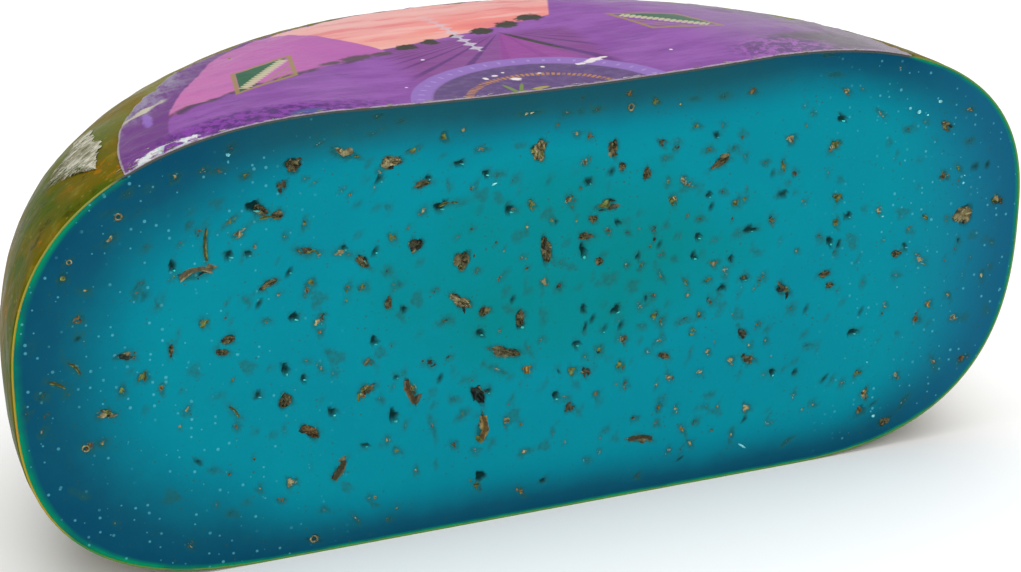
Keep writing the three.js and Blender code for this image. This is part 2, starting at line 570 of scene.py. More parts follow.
    def oval(
        self, x: float, y: float, half_long: float, half_wide: float,
        lean: float = 0.0, soft: float = 0.25, ragged: float = 0.0,
    ) -> Socket:
        """Mask an oval spot.

        Args:
            x: its middle.
            y: its middle.
            half_long: half its length.
            half_wide: half its width.
            lean: its turn in degrees.
            soft: width of its soft edge, as a share of its size.
            ragged: how uneven its edge is.

        Returns:
            1 inside, 0 outside.
        """
        long_way, wide_way = self.local(x, y, lean)
        long_share = self.math("DIVIDE", long_way, half_long)
        size = self.span(long_share, self.math("DIVIDE", wide_way, half_wide))
        if ragged:
            size = self.shake(size, self.noise(EDGE_GRAIN), ragged)
        return self.spread(size, 1.0 + soft, 1.0 - soft)

    def local(self, x: float, y: float, lean: float) -> tuple[Socket, Socket]:
        """Measure along and across a line through a point, leaning by so many degrees."""
        cosine, sine = math.cos(math.radians(lean)), math.sin(math.radians(lean))
        right = self.math("SUBTRACT", self.x, x)
        back = self.math("SUBTRACT", self.y, y)
        along = self.math("MULTIPLY_ADD", right, cosine, self.times(back, sine))
        aside = self.math("MULTIPLY_ADD", back, cosine, self.times(right, -sine))
        return along, aside

    def sector(self, turn: Socket, low: float, high: float) -> Socket:
        """Mask what lies between two directions in degrees."""
        soft = SECTOR_EDGE
        past_low = self.spread(turn, low - soft, low + soft)
        return self.times(past_low, self.spread(turn, high + soft, high - soft))

    def above(self, x: float, y: float, lean: float, ragged: float, size: float) -> Socket:
        """Measure how far places are behind a ragged line through a point."""
        _, aside = self.local(x, y, lean)
        return self.shake(aside, self.noise(size, detail=2.0), ragged)

    def ramp(self, value: Socket, stops: Sequence[tuple[float, Colour]]) -> Socket:
        """Turn a number into a colour by stops of place and colour."""
        node = self.tree.nodes.new("ShaderNodeValToRGB")
        bands = node.color_ramp.elements
        while len(bands) < len(stops):
            bands.new(0.5)
        for band, (place, colour) in zip(bands, stops):
            band.position = place
            band.color = (*colour, 1.0)
        self.feed(node.inputs[0], value)
        return node.outputs["Color"]

    def layer(self, name: str) -> Socket:
        """Read a number kept with the mesh."""
        node = self.tree.nodes.new("ShaderNodeAttribute")
        node.attribute_name = name
        return node.outputs["Fac"]

    def tint(self) -> Socket:
        """Read the tint kept with the mesh."""
        node = self.tree.nodes.new("ShaderNodeAttribute")
        node.attribute_name = TINT
        return node.outputs["Color"]

    def bump(
        self, height: Feed, millimetres: float, strength: float = 1.0, under: Socket | None = None,
    ) -> Socket:
        """Turn a height into a bumped normal, over another bump if one is given."""
        node = self.tree.nodes.new("ShaderNodeBump")
        node.inputs["Strength"].default_value = strength
        node.inputs["Distance"].default_value = millimetres * MM
        self.feed(node.inputs["Height"], height)
        if under is not None:
            self.feed(node.inputs["Normal"], under)
        return node.outputs["Normal"]


class Finish:
    """A finish that can make its own material."""

    name: str = "finish"

    def dress(self, bench: Bench) -> None:
        """Set out the finish's nodes on a bench."""
        raise NotImplementedError

    def material(self, cut_y: float) -> Material:
        """Make the material.

        Args:
            cut_y: where the cut stands in the frame, in millimetres.

        Returns:
            The finished material.
        """
        bench = Bench(self.name, cut_y)
        self.dress(bench)
        return bench.material


@dataclass(frozen=True)
class PasteFinish(Finish):
    """Moist blue-green cheese, darker and bluer towards its rind, stained round each lavender bit."""

    name: str = "blue_green_paste"
    green_rim: Colour = (0.001, 0.25, 0.1)
    stained: Colour = (0.016, 0.085, 0.065)
    hole: Colour = (0.005, 0.034, 0.034)
    # Painted shade: the dark of an empty pit, where little light reaches.
    crystal: Colour = (0.1, 0.46, 0.56)
    under_label: Colour = (0.012, 0.085, 0.085)
    right_end: Colour = (0.008, 0.118, 0.215)
    herb: Colour = (0.03, 0.075, 0.025)

    def dress(self, bench: Bench) -> None:
        """Set out bands from the rind inwards, cloudy patches, stains, crystals, herb dust, painted shade in
        the pits, and bumps.
        """
        clouds = bench.noise(24.0, detail=2.0, roughness=0.5)
        mottle = bench.noise(4.5, detail=3.0, roughness=0.6)
        ripe = bench.layer(RIPENESS)
        shifted = bench.shake(bench.shake(ripe, clouds, 0.26), mottle, 0.11, clamp=True)
        colour = bench.ramp(shifted, (
            (0.0, (0.002, 0.058, 0.112)),
            (0.16, (0.003, 0.078, 0.13)),
            (0.4, (0.002, 0.145, 0.205)),
            (0.62, (0.001, 0.196, 0.262)),
            (0.82, (0.001, 0.226, 0.286)),
            (1.0, (0.001, 0.203, 0.217)),
        ))
        high = bench.spread(bench.z, 91.0, 102.0, 0.0, 0.45)
        shaded = bench.times(high, bench.within(bench.x, 85.0, 45.0, -8.0))
        colour = bench.blend(shaded, colour, self.under_label)
        colour = bench.blend(bench.spread(bench.x, 84.0, 118.0, 0.0, 0.6), colour, self.right_end)
        edge_noise = bench.noise(11.0, detail=3.0)
        rim = bench.times(bench.layer(RIM), bench.spread(edge_noise, 0.3, 0.62, 0.35, 1.0))
        colour = bench.blend(rim, colour, self.green_rim)
        drift = bench.noise(7.0, detail=3.0, roughness=0.6)
        dust, pick = bench.cells(1.7)
        ragged = bench.math("MULTIPLY_ADD", bench.noise(0.9, detail=2.0), 0.3, dust)
        dust_size = bench.math("MULTIPLY_ADD", pick, 0.3, -0.02)
        dusty = bench.spread(bench.math("SUBTRACT", ragged, dust_size), 0.09, -0.04)
        dusty = bench.times(dusty, bench.spread(drift, 0.42, 0.62, 0.0, 0.6))
        colour = bench.blend(dusty, colour, self.herb)
        grain, lot = bench.cells(2.7)
        rare = bench.times(bench.spread(lot, 0.52, 0.6), bench.spread(drift, 0.36, 0.56, 0.1, 1.0))
        outer = bench.spread(bench.gap(bench.x, 8.0), 52.0, 84.0)
        size = bench.math("MULTIPLY_ADD", lot, -0.24, 0.115)
        spots = bench.spread(bench.math("ADD", grain, size), 0.05, -0.03)
        colour = bench.blend(bench.times(spots, rare, outer, 0.5), colour, self.crystal)
        fray = bench.noise(1.1, detail=2.0)
        stain = bench.times(bench.layer(STAIN), bench.spread(fray, 0.25, 0.75, 0.4, 1.0))
        colour = bench.blend(stain, colour, self.stained)
        # Painted shade inside each empty pit, read from the hollow layer.
        colour = bench.blend(bench.layer(HOLLOW), colour, self.hole)
        ripple = bench.noise(3.0, detail=2.0, stretch=(9.0, 1.0, 0.8))
        pores = bench.noise(0.7, detail=2.0)
        normal = bench.bump(ripple, 0.10, 0.35)
        normal = bench.bump(pores, 0.05, 0.5, normal)
        bench.set(
            Base_Color=colour, Normal=normal, Roughness=bench.spread(clouds, 0.2, 0.8, 0.42, 0.58),
            Specular_IOR_Level=0.02,
        )


@dataclass(frozen=True)
class CoatFinish(Finish):
    """Glossy translucent olive coating, thick and dark in places, with green patches and amber spots."""

    name: str = "olive_coating"
    olive: Colour = (0.125, 0.095, 0.002)
    green: Colour = (0.055, 0.09, 0.003)
    dark: Colour = (0.04, 0.042, 0.001)
    straw: Colour = (0.19, 0.17, 0.025)
    amber: Colour = (0.36, 0.13, 0.002)
    # Painted sheen: pale straw standing in for the highlight on the upper side.
    painted_top_sheen: Colour = (0.29, 0.27, 0.1)

    def dress(self, bench: Bench) -> None:
        """Set out patches, runs, a painted sheen high up, spots, dents and gloss."""
        patches = bench.noise(24.0, detail=4.0, roughness=0.62)
        runs = bench.noise(6.0, detail=5.0, roughness=0.62, stretch=(1.0, 1.0, 1.5))
        colour = bench.blend(bench.spread(patches, 0.42, 0.62), self.olive, self.green)
        colour = bench.blend(bench.spread(runs, 0.54, 0.75, 0.0, 0.7), colour, self.straw)
        colour = bench.blend(bench.spread(runs, 0.46, 0.3, 0.0, 0.85), colour, self.dark)
        # Painted sheen towards the top and back of the coating, broken up by the patches.
        height = bench.math("MULTIPLY_ADD", bench.y, 0.5, bench.z)
        top_sheen_patches = bench.spread(patches, 0.36, 0.6, 0.15, 0.7)
        colour = bench.blend(bench.times(bench.spread(height, 98.0, 135.0), top_sheen_patches), colour, self.painted_top_sheen)
        spots = bench.noise(3.4, detail=4.0, roughness=0.7)
        near_cut = bench.spread(bench.y, 34.0, 0.0, 0.25, 1.0)
        clear = bench.spread(patches, 0.52, 0.4, 0.15, 1.0)
        spotted = bench.times(bench.spread(spots, 0.54, 0.64), near_cut, clear, 0.75)
        colour = bench.blend(spotted, colour, self.amber)
        flecks, pick = bench.cells(1.9, upright=False)
        flecked = bench.times(bench.spread(flecks, 0.3, 0.1), bench.spread(pick, 0.6, 0.72, 0.0, 0.8))
        colour = bench.blend(flecked, colour, self.straw)
        normal = bench.bump(bench.noise(11.0, detail=3.0), 0.9, 0.55)
        normal = bench.bump(bench.noise(1.6, detail=3.0), 0.12, 0.6, normal)
        bench.set(
            Base_Color=colour, Normal=normal, Roughness=bench.spread(runs, 0.3, 0.7, 0.26, 0.42),
            Specular_IOR_Level=0.006,
        )


@dataclass(frozen=True)
class CutCoatFinish(Finish):
    """The coating's cut edge, yellow to orange where light comes through it, green in places."""

    name: str = "cut_coating"
    yellow: Colour = (0.33, 0.25, 0.012)
    straw: Colour = (0.2, 0.22, 0.035)
    orange: Colour = (0.44, 0.19, 0.005)
    green: Colour = (0.03, 0.2, 0.03)
    brown: Colour = (0.03, 0.055, 0.05)

    def dress(self, bench: Bench) -> None:
        """Set out the change of colour along the edge; it is browner under the label."""
        lengths = bench.noise(17.0, detail=3.0, roughness=0.6)
        colour = bench.blend(bench.spread(lengths, 0.54, 0.66), self.yellow, self.orange)
        colour = bench.blend(bench.spread(lengths, 0.45, 0.36), colour, self.green)
        colour = bench.blend(bench.spread(bench.z, 66.0, 84.0, 0.0, 0.85), colour, self.straw)
        right = bench.math("MAXIMUM", bench.spread(bench.x, 60.0, 120.0), bench.spread(bench.z, 24.0, 8.0))
        colour = bench.blend(bench.times(right, 0.8), colour, self.green)
        labelled = bench.times(bench.spread(bench.z, 93.0, 96.0), bench.spread(bench.x, 94.0, 90.0))
        colour = bench.blend(labelled, colour, self.brown)
        normal = bench.bump(bench.noise(0.8), 0.06, 0.5)
        bench.set(Base_Color=colour, Normal=normal, Roughness=0.4, Specular_IOR_Level=0.3)


@dataclass(frozen=True)
class FibreFinish(Finish):
    """Whitish torn paper fibre, greyer where it is thin, straw-coloured where the coating has soaked in."""

    name: str = "torn_fibre"
    white: Colour = (0.56, 0.54, 0.44)
    grey: Colour = (0.22, 0.215, 0.145)
    soaked: Colour = (0.16, 0.15, 0.07)
    showing: Colour = (0.055, 0.07, 0.008)

    def dress(self, bench: Bench) -> None:
        """Set out strands and soaked patches."""
        strands = bench.noise(1.5, detail=4.0, roughness=0.7, stretch=(2.0, 1.0, 2.0))
        soak = bench.noise(5.0, detail=4.0)
        colour = bench.blend(bench.spread(strands, 0.4, 0.6), self.grey, self.white)
        colour = bench.blend(bench.spread(soak, 0.46, 0.6, 0.0, 0.75), colour, self.soaked)
        gaps = bench.math("MULTIPLY_ADD", bench.layer(HOLLOW), 0.36, strands)
        colour = bench.blend(bench.spread(gaps, 0.72, 0.78), colour, self.showing)
        normal = bench.bump(strands, 0.25, 0.8)
        bench.set(Base_Color=colour, Normal=normal, Roughness=0.62, Specular_IOR_Level=0.15)


@dataclass(frozen=True)
class LavenderFinish(Finish):
    """Dried flower and stalk in the tint of each bit, ribbed, with lighter fibres."""

    name: str = "dried_lavender"

    def dress(self, bench: Bench) -> None:
        """Set out mottled tint and fibre ribs."""
        mottle = bench.noise(0.9, detail=3.0, roughness=0.65)
        fibres = bench.noise(0.28, detail=2.0, stretch=(1.0, 1.0, 2.0))
        shade = bench.spread(mottle, 0.25, 0.75, 0.6, 1.45)
        tone = bench.tree.nodes.new("ShaderNodeCombineXYZ")
        for socket in tone.inputs:
            bench.feed(socket, shade)
        colour = bench.blend(1.0, bench.tint(), tone.outputs[0], "MULTIPLY")
        normal = bench.bump(fibres, 0.12, 0.8)
        bench.set(Base_Color=colour, Normal=normal, Roughness=0.72, Specular_IOR_Level=0.2)


@dataclass(frozen=True)
class FloorFinish(Finish):
    """Pale, even studio floor."""

    name: str = "pale_floor"
    pale: Colour = (0.95, 0.95, 0.95)

    def dress(self, bench: Bench) -> None:
        """Set out a nearly even pale grey."""
        colour = bench.blend(bench.noise(400.0), self.pale, (0.93, 0.93, 0.93))
        bench.set(Base_Color=colour, Roughness=0.9, Specular_IOR_Level=0.1)


@dataclass(frozen=True)
class PrintedPaper(Finish):
    """The top label's picture: lavender fields at sunset round a plain ring, under a clear gloss film."""

    name: str = "printed_label"
    centre: tuple[float, float] = (WheelForm.label_x, WheelForm.label_y)
    picture_radius: float = 84.0
    purple: Colour = (0.19, 0.056, 0.27)
    light_purple: Colour = (0.24, 0.08, 0.33)
    deep: Colour = (0.1, 0.026, 0.16)
    band: Colour = (0.135, 0.042, 0.19)
    pink: Colour = (0.46, 0.14, 0.34)
    magenta: Colour = (0.38, 0.1, 0.33)
    sky_low: Colour = (0.69, 0.2, 0.16)
    sky_high: Colour = (0.69, 0.34, 0.31)
    cloud: Colour = (0.6, 0.16, 0.17)
    tree: Colour = (0.035, 0.033, 0.024)
    ring: Colour = (0.23, 0.125, 0.4)
    disc: Colour = (0.085, 0.046, 0.15)
    gold: Colour = (0.27, 0.19, 0.06)
    orange: Colour = (0.38, 0.17, 0.06)
    leaf: Colour = (0.02, 0.1, 0.05)
    cream: Colour = (0.48, 0.44, 0.28)
    white: Colour = (0.5, 0.46, 0.54)
    # Painted sheen: a pale grey reflection laid into the film's colour.
    painted_film_sheen: Colour = (0.31, 0.29, 0.31)
    torn_edge: Colour = (0.36, 0.32, 0.3)

    def dress(self, bench: Bench) -> None:
        """Paint the picture from the back layers to the front, then the film's painted sheen, wrinkles and
        gloss.
        """
        across = bench.math("SUBTRACT", bench.x, self.centre[0])
        behind = bench.math("SUBTRACT", bench.y, self.centre[1])
        reach = bench.span(across, behind)
        turn = bench.math("DEGREES", bench.math("ARCTAN2", behind, across))
        streaks = bench.noise(6.0, detail=3.0, stretch=(3.0, 1.0, 1.0), roughness=0.65)
        colour = bench.blend(bench.spread(streaks, 0.35, 0.65), self.purple, self.light_purple)
        colour = self.fields(bench, colour, across, behind)
        colour = self.dusk(bench, colour, turn, streaks)
        colour = self.sunset(bench, colour, turn)
        wider = bench.math("SUBTRACT", reach, bench.spread(bench.y, 40.0, 76.0, 0.0, 8.0))
        outside = bench.spread(wider, self.picture_radius - 0.3, self.picture_radius + 0.3)
        colour = bench.blend(outside, colour, self.band)
        colour = self.bushes(bench, colour)
        colour = self.ornaments(bench, colour)
        colour = self.rings(bench, colour, reach, turn)
        colour = bench.blend(bench.spread(reach, 94.55, 94.85, 0.0, 0.75), colour, self.torn_edge)
        self.film(bench, colour)

    def fields(self, bench: Bench, colour: Socket, across: Socket, behind: Socket) -> Socket:
        """Lay rows of lavender that run together at the horizon."""
        right = bench.math("SUBTRACT", bench.x, 5.0)
        down = bench.math("MAXIMUM", bench.math("SUBTRACT", 46.0, bench.y), 0.5)
        lane = bench.math("DIVIDE", right, down)
        rows = bench.math("SINE", bench.times(lane, 15.0))
        nearby = bench.times(bench.spread(bench.x, -30.0, -22.0), bench.spread(bench.x, 24.0, 19.0))
        low = bench.times(nearby, bench.spread(bench.y, 46.0, 42.0))
        colour = bench.blend(bench.times(low, 0.65), colour, (0.18, 0.045, 0.18))
        furrows = bench.times(bench.spread(rows, 0.55, 0.95), low)
        colour = bench.blend(furrows, colour, self.deep)
        bright = bench.times(bench.within(lane, 0.42, 0.34), low, 0.7)
        colour = bench.blend(bright, colour, (0.27, 0.045, 0.26))
        furrow = bench.oval(9.5, 36.0, 10.0, 0.7, -62.0)
        colour = bench.blend(furrow, colour, self.tree)
        stripes = bench.noise(1.3, detail=3.0, stretch=(7.0, 1.0, 1.0))
        dark_stripes = bench.spread(stripes, 0.56, 0.72, 0.0, 0.4)
        return bench.blend(dark_stripes, colour, self.deep)

    def dusk(self, bench: Bench, colour: Socket, turn: Socket, streaks: Socket) -> Socket:
        """Lay the pink evening over the left-hand field, with its dark line of far trees."""
        here = bench.sector(turn, 115.6, 163.0)
        beyond = bench.above(-53.0, 29.5, 19.0, 2.5, 7.0)
        sky = bench.times(here, bench.spread(beyond, -0.6, 1.0))
        evening = bench.ramp(bench.spread(bench.x, -84.0, -30.0), (
            (0.0, self.pink), (0.45, (0.42, 0.12, 0.34)), (1.0, self.magenta),
        ))
        evening = bench.blend(bench.spread(streaks, 0.45, 0.75, 0.0, 0.4), evening, (0.3, 0.085, 0.3))
        colour = bench.blend(sky, colour, evening)
        broken = bench.spread(bench.noise(5.5, detail=2.0), 0.42, 0.55)
        shown = bench.times(bench.within(beyond, 1.8, 0.3, -0.2), broken, here, 0.75)
        colour = bench.blend(shown, colour, self.tree)
        for x, y, long, wide in ((-34.0, 37.0, 4.2, 2.0), (-41.0, 35.0, 3.0, 1.2), (-27.5, 38.6, 2.4, 1.0)):
            clump = bench.oval(x, y, long, wide, 10.0, 0.45, 1.3)
            colour = bench.blend(clump, colour, (0.09, 0.055, 0.08))
        return colour

    def sunset(self, bench: Bench, colour: Socket, turn: Socket) -> Socket:
        """Lay the glowing sky between two straight edges, its streaks of cloud and its round trees."""
        here = bench.sector(turn, 67.7, 115.6)
        beyond = bench.above(-3.0, 47.5, 15.0, 1.6, 5.0)
        sky = bench.ramp(bench.spread(bench.y, 42.0, 74.0), (
            (0.0, (0.66, 0.26, 0.18)), (0.2, self.sky_low), (0.55, (0.68, 0.21, 0.19)), (1.0, self.sky_high),
        ))
        wisps = bench.noise(5.0, detail=4.0, stretch=(6.0, 1.0, 1.0), roughness=0.6)
        sky = bench.blend(bench.spread(bench.x, 2.0, -26.0, 0.0, 0.5), sky, (0.7, 0.38, 0.36))
        sky = bench.blend(bench.spread(wisps, 0.5, 0.66, 0.0, 0.8), sky, (0.7, 0.38, 0.35))
        sky = bench.blend(bench.spread(wisps, 0.5, 0.36, 0.0, 0.75), sky, self.cloud)
        shown = bench.times(here, bench.spread(beyond, -0.3, 0.5))
        colour = bench.blend(shown, colour, sky)
        trees = (
            (-20.5, 41.6, 2.6, 2.2), (-13.5, 43.6, 2.2, 1.9), (-6.0, 46.2, 1.7, 1.5), (1.0, 47.8, 2.8, 2.3),
            (8.6, 50.6, 2.9, 2.4), (16.2, 54.0, 3.7, 2.7),
        )
        for x, y, long, wide in trees:
            colour = bench.blend(bench.oval(x, y, long, wide, 12.0, 0.2, 1.7), colour, self.tree)
        return colour

    def bushes(self, bench: Bench, colour: Socket) -> Socket:
        """Lay the near lavender bushes: speckles at the right, a rough dark strip at the left; also painted
        shade at the right-hand end by the cut, and a painted sheen and a painted highlight on the creased
        left shoulder.
        """
        speckle = bench.noise(1.9, detail=3.0, roughness=0.65)
        lit = bench.blend(bench.spread(speckle, 0.45, 0.62), (0.1, 0.035, 0.16), (0.3, 0.085, 0.38))
        dark = bench.blend(bench.spread(speckle, 0.42, 0.6), (0.075, 0.014, 0.14), (0.19, 0.035, 0.29))
        # Fold-like noise that breaks up the painted sheen on the left shoulder.
        sheen_folds = bench.spread(bench.noise(3.0, detail=4.0, stretch=(1.0, 4.0, 1.0), roughness=0.7), 0.38, 0.6)
        patches = (
            ((66.0, 6.0, 17.0, 10.0, 0.0, 0.3, 0.5), 1.0, lit),
            # Painted shade: two dark grey patches at the right-hand end, by the cut.
            ((74.0, 12.5, 11.0, 4.6, -14.0, 0.5, 0.9), 0.85, (0.05, 0.04, 0.05)),
            ((78.5, 4.6, 7.0, 4.4, -10.0, 0.5, 0.9), 0.8, (0.07, 0.06, 0.07)),
            ((-66.0, 3.0, 25.0, 6.2, -3.0, 0.35, 0.8), 1.0, dark),
            ((-57.5, 2.0, 3.6, 1.5, 0.0, 0.4, 0.7), 1.0, (0.06, 0.07, 0.24)),
            # Painted sheen: a greyish patch over the folds of the left shoulder.
            ((-84.0, 48.0, 26.0, 10.0, 58.0, 0.4, 0.6), sheen_folds, (0.25, 0.21, 0.32)),
            # Painted highlight: a pale streak on one crease.
            ((-86.5, 31.8, 6.2, 1.5, 22.0, 0.35, 0.8), 1.0, (0.46, 0.44, 0.34)),
            ((-87.0, 23.5, 4.2, 1.1, 80.0, 0.3, 1.3), 0.7, (0.27, 0.15, 0.5)),
        )
        for shape, share, patch_colour in patches:
            colour = bench.blend(bench.times(bench.oval(*shape), share), colour, patch_colour)
        return colour

    def ornaments(self, bench: Bench, colour: Socket) -> Socket:
        """Lay two plain diamonds, each with a green hill and a string of beads, and a pale sprig."""
        for x, y, lean in ((-57.0, 34.5, 50.0), (45.5, 39.0, -46.0)):
            along, aside = bench.local(x, y, lean)
            size = bench.math("ADD", bench.math("ABSOLUTE", bench.math("DIVIDE", along, 16.0)),
                              bench.math("ABSOLUTE", bench.math("DIVIDE", aside, 8.4)))
            inside = bench.spread(size, 0.86, 0.82)
            slope = bench.math("MULTIPLY_ADD", bench.noise(4.0), 2.4, bench.math("SUBTRACT", aside, 1.0))
            colour = bench.blend(bench.times(inside, bench.spread(slope, -0.2, 0.4)), colour, self.leaf)
            lines = bench.spread(bench.math("SINE", bench.times(aside, 3.4)), 0.35, 0.8)
            ruled = bench.times(inside, lines, bench.spread(aside, -1.8, -2.4), 0.75)
            colour = bench.blend(ruled, colour, self.gold)
            bead = bench.span(bench.gap(bench.math("PINGPONG", along, 1.5), 0.75), bench.times(aside, 0.5))
            beads = bench.times(bench.spread(bead, 0.85, 0.6), bench.within(along, 11.6, 11.2), 0.9)
            colour = bench.blend(beads, colour, self.cream)
            frame = bench.within(size, 0.1, 0.04, 0.92)
            colour = bench.blend(bench.times(frame, 0.9), colour, self.gold)
        along, aside = bench.local(-6.0, 50.0, 94.0)
        leaf_way = bench.math("SUBTRACT", bench.math("PINGPONG", bench.math("ADD", along, 40.0), 1.7), 0.85)
        slanted = bench.math("MULTIPLY_ADD", bench.math("ABSOLUTE", aside), -0.7, leaf_way)
        leaves = bench.times(bench.within(slanted, 0.75, 0.3), bench.within(aside, 2.6, 2.2))
        sprig = bench.math("MAXIMUM", leaves, bench.within(aside, 0.45, 0.2))
        fade = bench.spread(along, 17.0, -8.0, 0.25, 0.8)
        return bench.blend(bench.times(sprig, bench.within(along, 17.5, 16.5), fade), colour, self.white)

    def rings(self, bench: Bench, colour: Socket, reach: Socket, turn: Socket) -> Socket:
        """Lay the lilac ring, the dark disc in it, its dashed circle, a small sprout and a few scuffs."""
        disc = bench.spread(reach, 31.7, 31.3)
        colour = bench.blend(disc, colour, self.ring)
        inner = bench.spread(reach, 26.8, 26.4)
        worn = bench.noise(2.2, detail=3.0)
        shade = bench.blend(bench.spread(worn, 0.4, 0.7), self.disc, (0.12, 0.07, 0.19))
        colour = bench.blend(inner, colour, shade)
        edge = bench.within(reach, 0.5, 0.2, 26.7)
        colour = bench.blend(bench.times(edge, 0.5), colour, (0.18, 0.1, 0.28))
        dash = bench.spread(bench.math("SINE", bench.times(turn, 1.7)), -0.7, -0.1)
        circle = bench.within(reach, 1.15, 0.7, 18.5)
        broken = bench.times(dash, bench.spread(worn, 0.32, 0.5, 0.35, 1.0))
        colour = bench.blend(bench.times(circle, broken), colour, self.orange)
        pearl = bench.spread(bench.math("SINE", bench.times(turn, 0.9)), 0.72, 0.95)
        lace = bench.times(pearl, bench.within(reach, 0.95, 0.5, 29.2), 0.55)
        colour = bench.blend(lace, colour, (0.36, 0.27, 0.55))
        sprout = (
            (-9.6, 3.0, 3.6, 0.55, 100.0, (0.14, 0.2, 0.05)), (-7.2, 3.0, 3.4, 0.45, 66.0, (0.14, 0.2, 0.05)),
            (-3.2, 1.4, 2.2, 0.8, 10.0, (0.3, 0.26, 0.06)), (-8.6, 0.6, 2.0, 0.5, 10.0, (0.13, 0.17, 0.05)),
        )
        for x, y, long, wide, lean, paint_colour in sprout:
            colour = bench.blend(bench.oval(x, y, long, wide, lean), colour, paint_colour)
        scuffs = (
            (16.4, 16.6, 2.9, 1.2, 24.0), (12.6, 15.0, 1.2, 0.8, 0.0), (19.0, 17.6, 1.3, 0.6, 0.0),
            (-5.6, 9.6, 1.1, 1.3, 40.0), (-9.0, 14.0, 0.7, 0.5, 0.0), (-12.0, 12.6, 0.6, 0.9, 0.0),
            (3.6, 16.4, 0.5, 0.5, 0.0), (-6.6, 15.4, 0.4, 0.4, 0.0), (1.0, 12.0, 0.4, 0.4, 0.0),
            (-20.0, 31.0, 0.5, 0.4, 0.0), (-31.0, 12.0, 0.5, 0.4, 0.0), (36.0, 16.0, 0.4, 0.4, 0.0),
        )
        for x, y, long, wide, lean in scuffs:
            colour = bench.blend(bench.oval(x, y, long, wide, lean, 0.3, 1.9), colour, (0.66, 0.6, 0.6))
        return colour

    def film(self, bench: Bench, colour: Socket) -> None:
        """Lay the film: a painted sheen towards the right-hand shoulder, torn white at the left end, creases,
        gloss.
        """
        # Painted sheen: a grey reflection painted in, stronger towards the right-hand shoulder, in noisy
        # patches.
        sheen_noise = bench.noise(16.0, detail=4.0, stretch=(1.0, 2.2, 1.0))
        right = bench.spread(bench.math("MULTIPLY_ADD", bench.y, 0.28, bench.x), 46.0, 96.0, 0.0, 0.85)
        sheen_mask = bench.times(right, bench.spread(sheen_noise, 0.3, 0.6, 0.5, 1.0))
        colour = bench.blend(sheen_mask, colour, self.painted_film_sheen)
        frayed = bench.noise(2.2, detail=4.0, roughness=0.7)
        torn = bench.oval(-90.0, 0.6, 7.6, 3.6, 10.0, 0.16, 2.0)
        gaps = bench.noise(4.4, detail=2.0, roughness=0.5)
        torn = bench.times(torn, bench.spread(gaps, 0.42, 0.5))
        paper = bench.blend(bench.spread(frayed, 0.5, 0.62), (0.6, 0.6, 0.6), (0.3, 0.52, 0.54))
        colour = bench.blend(torn, colour, paper)
        cut = bench.times(bench.spread(bench.y, 0.7, 0.25), bench.spread(frayed, 0.4, 0.55, 0.1, 0.8))
        colour = bench.blend(cut, colour, (0.4, 0.34, 0.42))
        creases = bench.noise(9.0, detail=5.0, roughness=0.6, stretch=(1.6, 1.0, 1.0))
        normal = bench.bump(creases, 1.0, 0.35)
        normal = bench.bump(bench.noise(2.2, detail=3.0), 0.14, 0.5, normal)
        bench.set(
            Base_Color=colour, Normal=normal, Roughness=bench.spread(sheen_noise, 0.3, 0.7, 0.3, 0.45),
            Specular_IOR_Level=0.07,
        )


@dataclass(frozen=True)
class PaperEdgeFinish(Finish):
    """The label's cut edge: white paper, grubby in places."""

    name: str = "paper_edge"
    white: Colour = (0.33, 0.28, 0.33)

    def dress(self, bench: Bench) -> None:
        """Set out the white and its stains along the edge."""
        stains = bench.noise(3.2, detail=4.0, roughness=0.7)
        colour = bench.blend(bench.spread(stains, 0.48, 0.66), self.white, (0.16, 0.11, 0.1))
        bench.set(Base_Color=colour, Normal=bench.bump(stains, 0.05), Roughness=0.7, Specular_IOR_Level=0.2)


class Tint(Enum):
    """Colours of dried lavender and of what else lies in the paste."""

    BLACK = (0.01, 0.02, 0.016)
    DARK = (0.045, 0.042, 0.024)
    BROWN = (0.092, 0.082, 0.038)
    RUST = (0.125, 0.078, 0.028)
    TAN = (0.215, 0.185, 0.092)
    OLIVE = (0.105, 0.125, 0.03)
    GREEN = (0.15, 0.22, 0.03)
    ORANGE = (0.22, 0.135, 0.032)
    CREAM = (0.38, 0.34, 0.2)
    CYAN = (0.14, 0.45, 0.5)
    DIM = (0.022, 0.07, 0.05)
    SUNKEN = (0.05, 0.075, 0.035)
    # A painted highlight: the tint of pale crumbs laid at the lower edge of pits.
    PAINTED_GLINT = (0.03, 0.34, 0.31)


class Kind(Enum):
    """Sorts of bit that the knife met."""

    BUD = "ribbed bud, cut open"
    HUSK = "curled husk"
    STALK = "piece of stalk"
    RING = "hollow stalk cut across"
    CRUMB = "crumb"
    PIT = "small hole, nothing left in it"


@dataclass(frozen=True)
class Bit:
    """One thing in the cut: its sort and tint, its place and size in millimetres, its lean in degrees."""

    kind: Kind
    tint: Tint
    x: float
    z: float
    long: float
    wide: float
    lean: float = 0.0

    def local(self, x: Array, z: Array) -> tuple[Array, Array]:
        """Measure places along and across the bit, as shares of its half sizes."""
        turn = math.radians(self.lean)
        right, up = x - self.x, z - self.z
        along = (right * math.cos(turn) + up * math.sin(turn)) / (self.long / 2)
        aside = (up * math.cos(turn) - right * math.sin(turn)) / (self.wide / 2)
        return along, aside


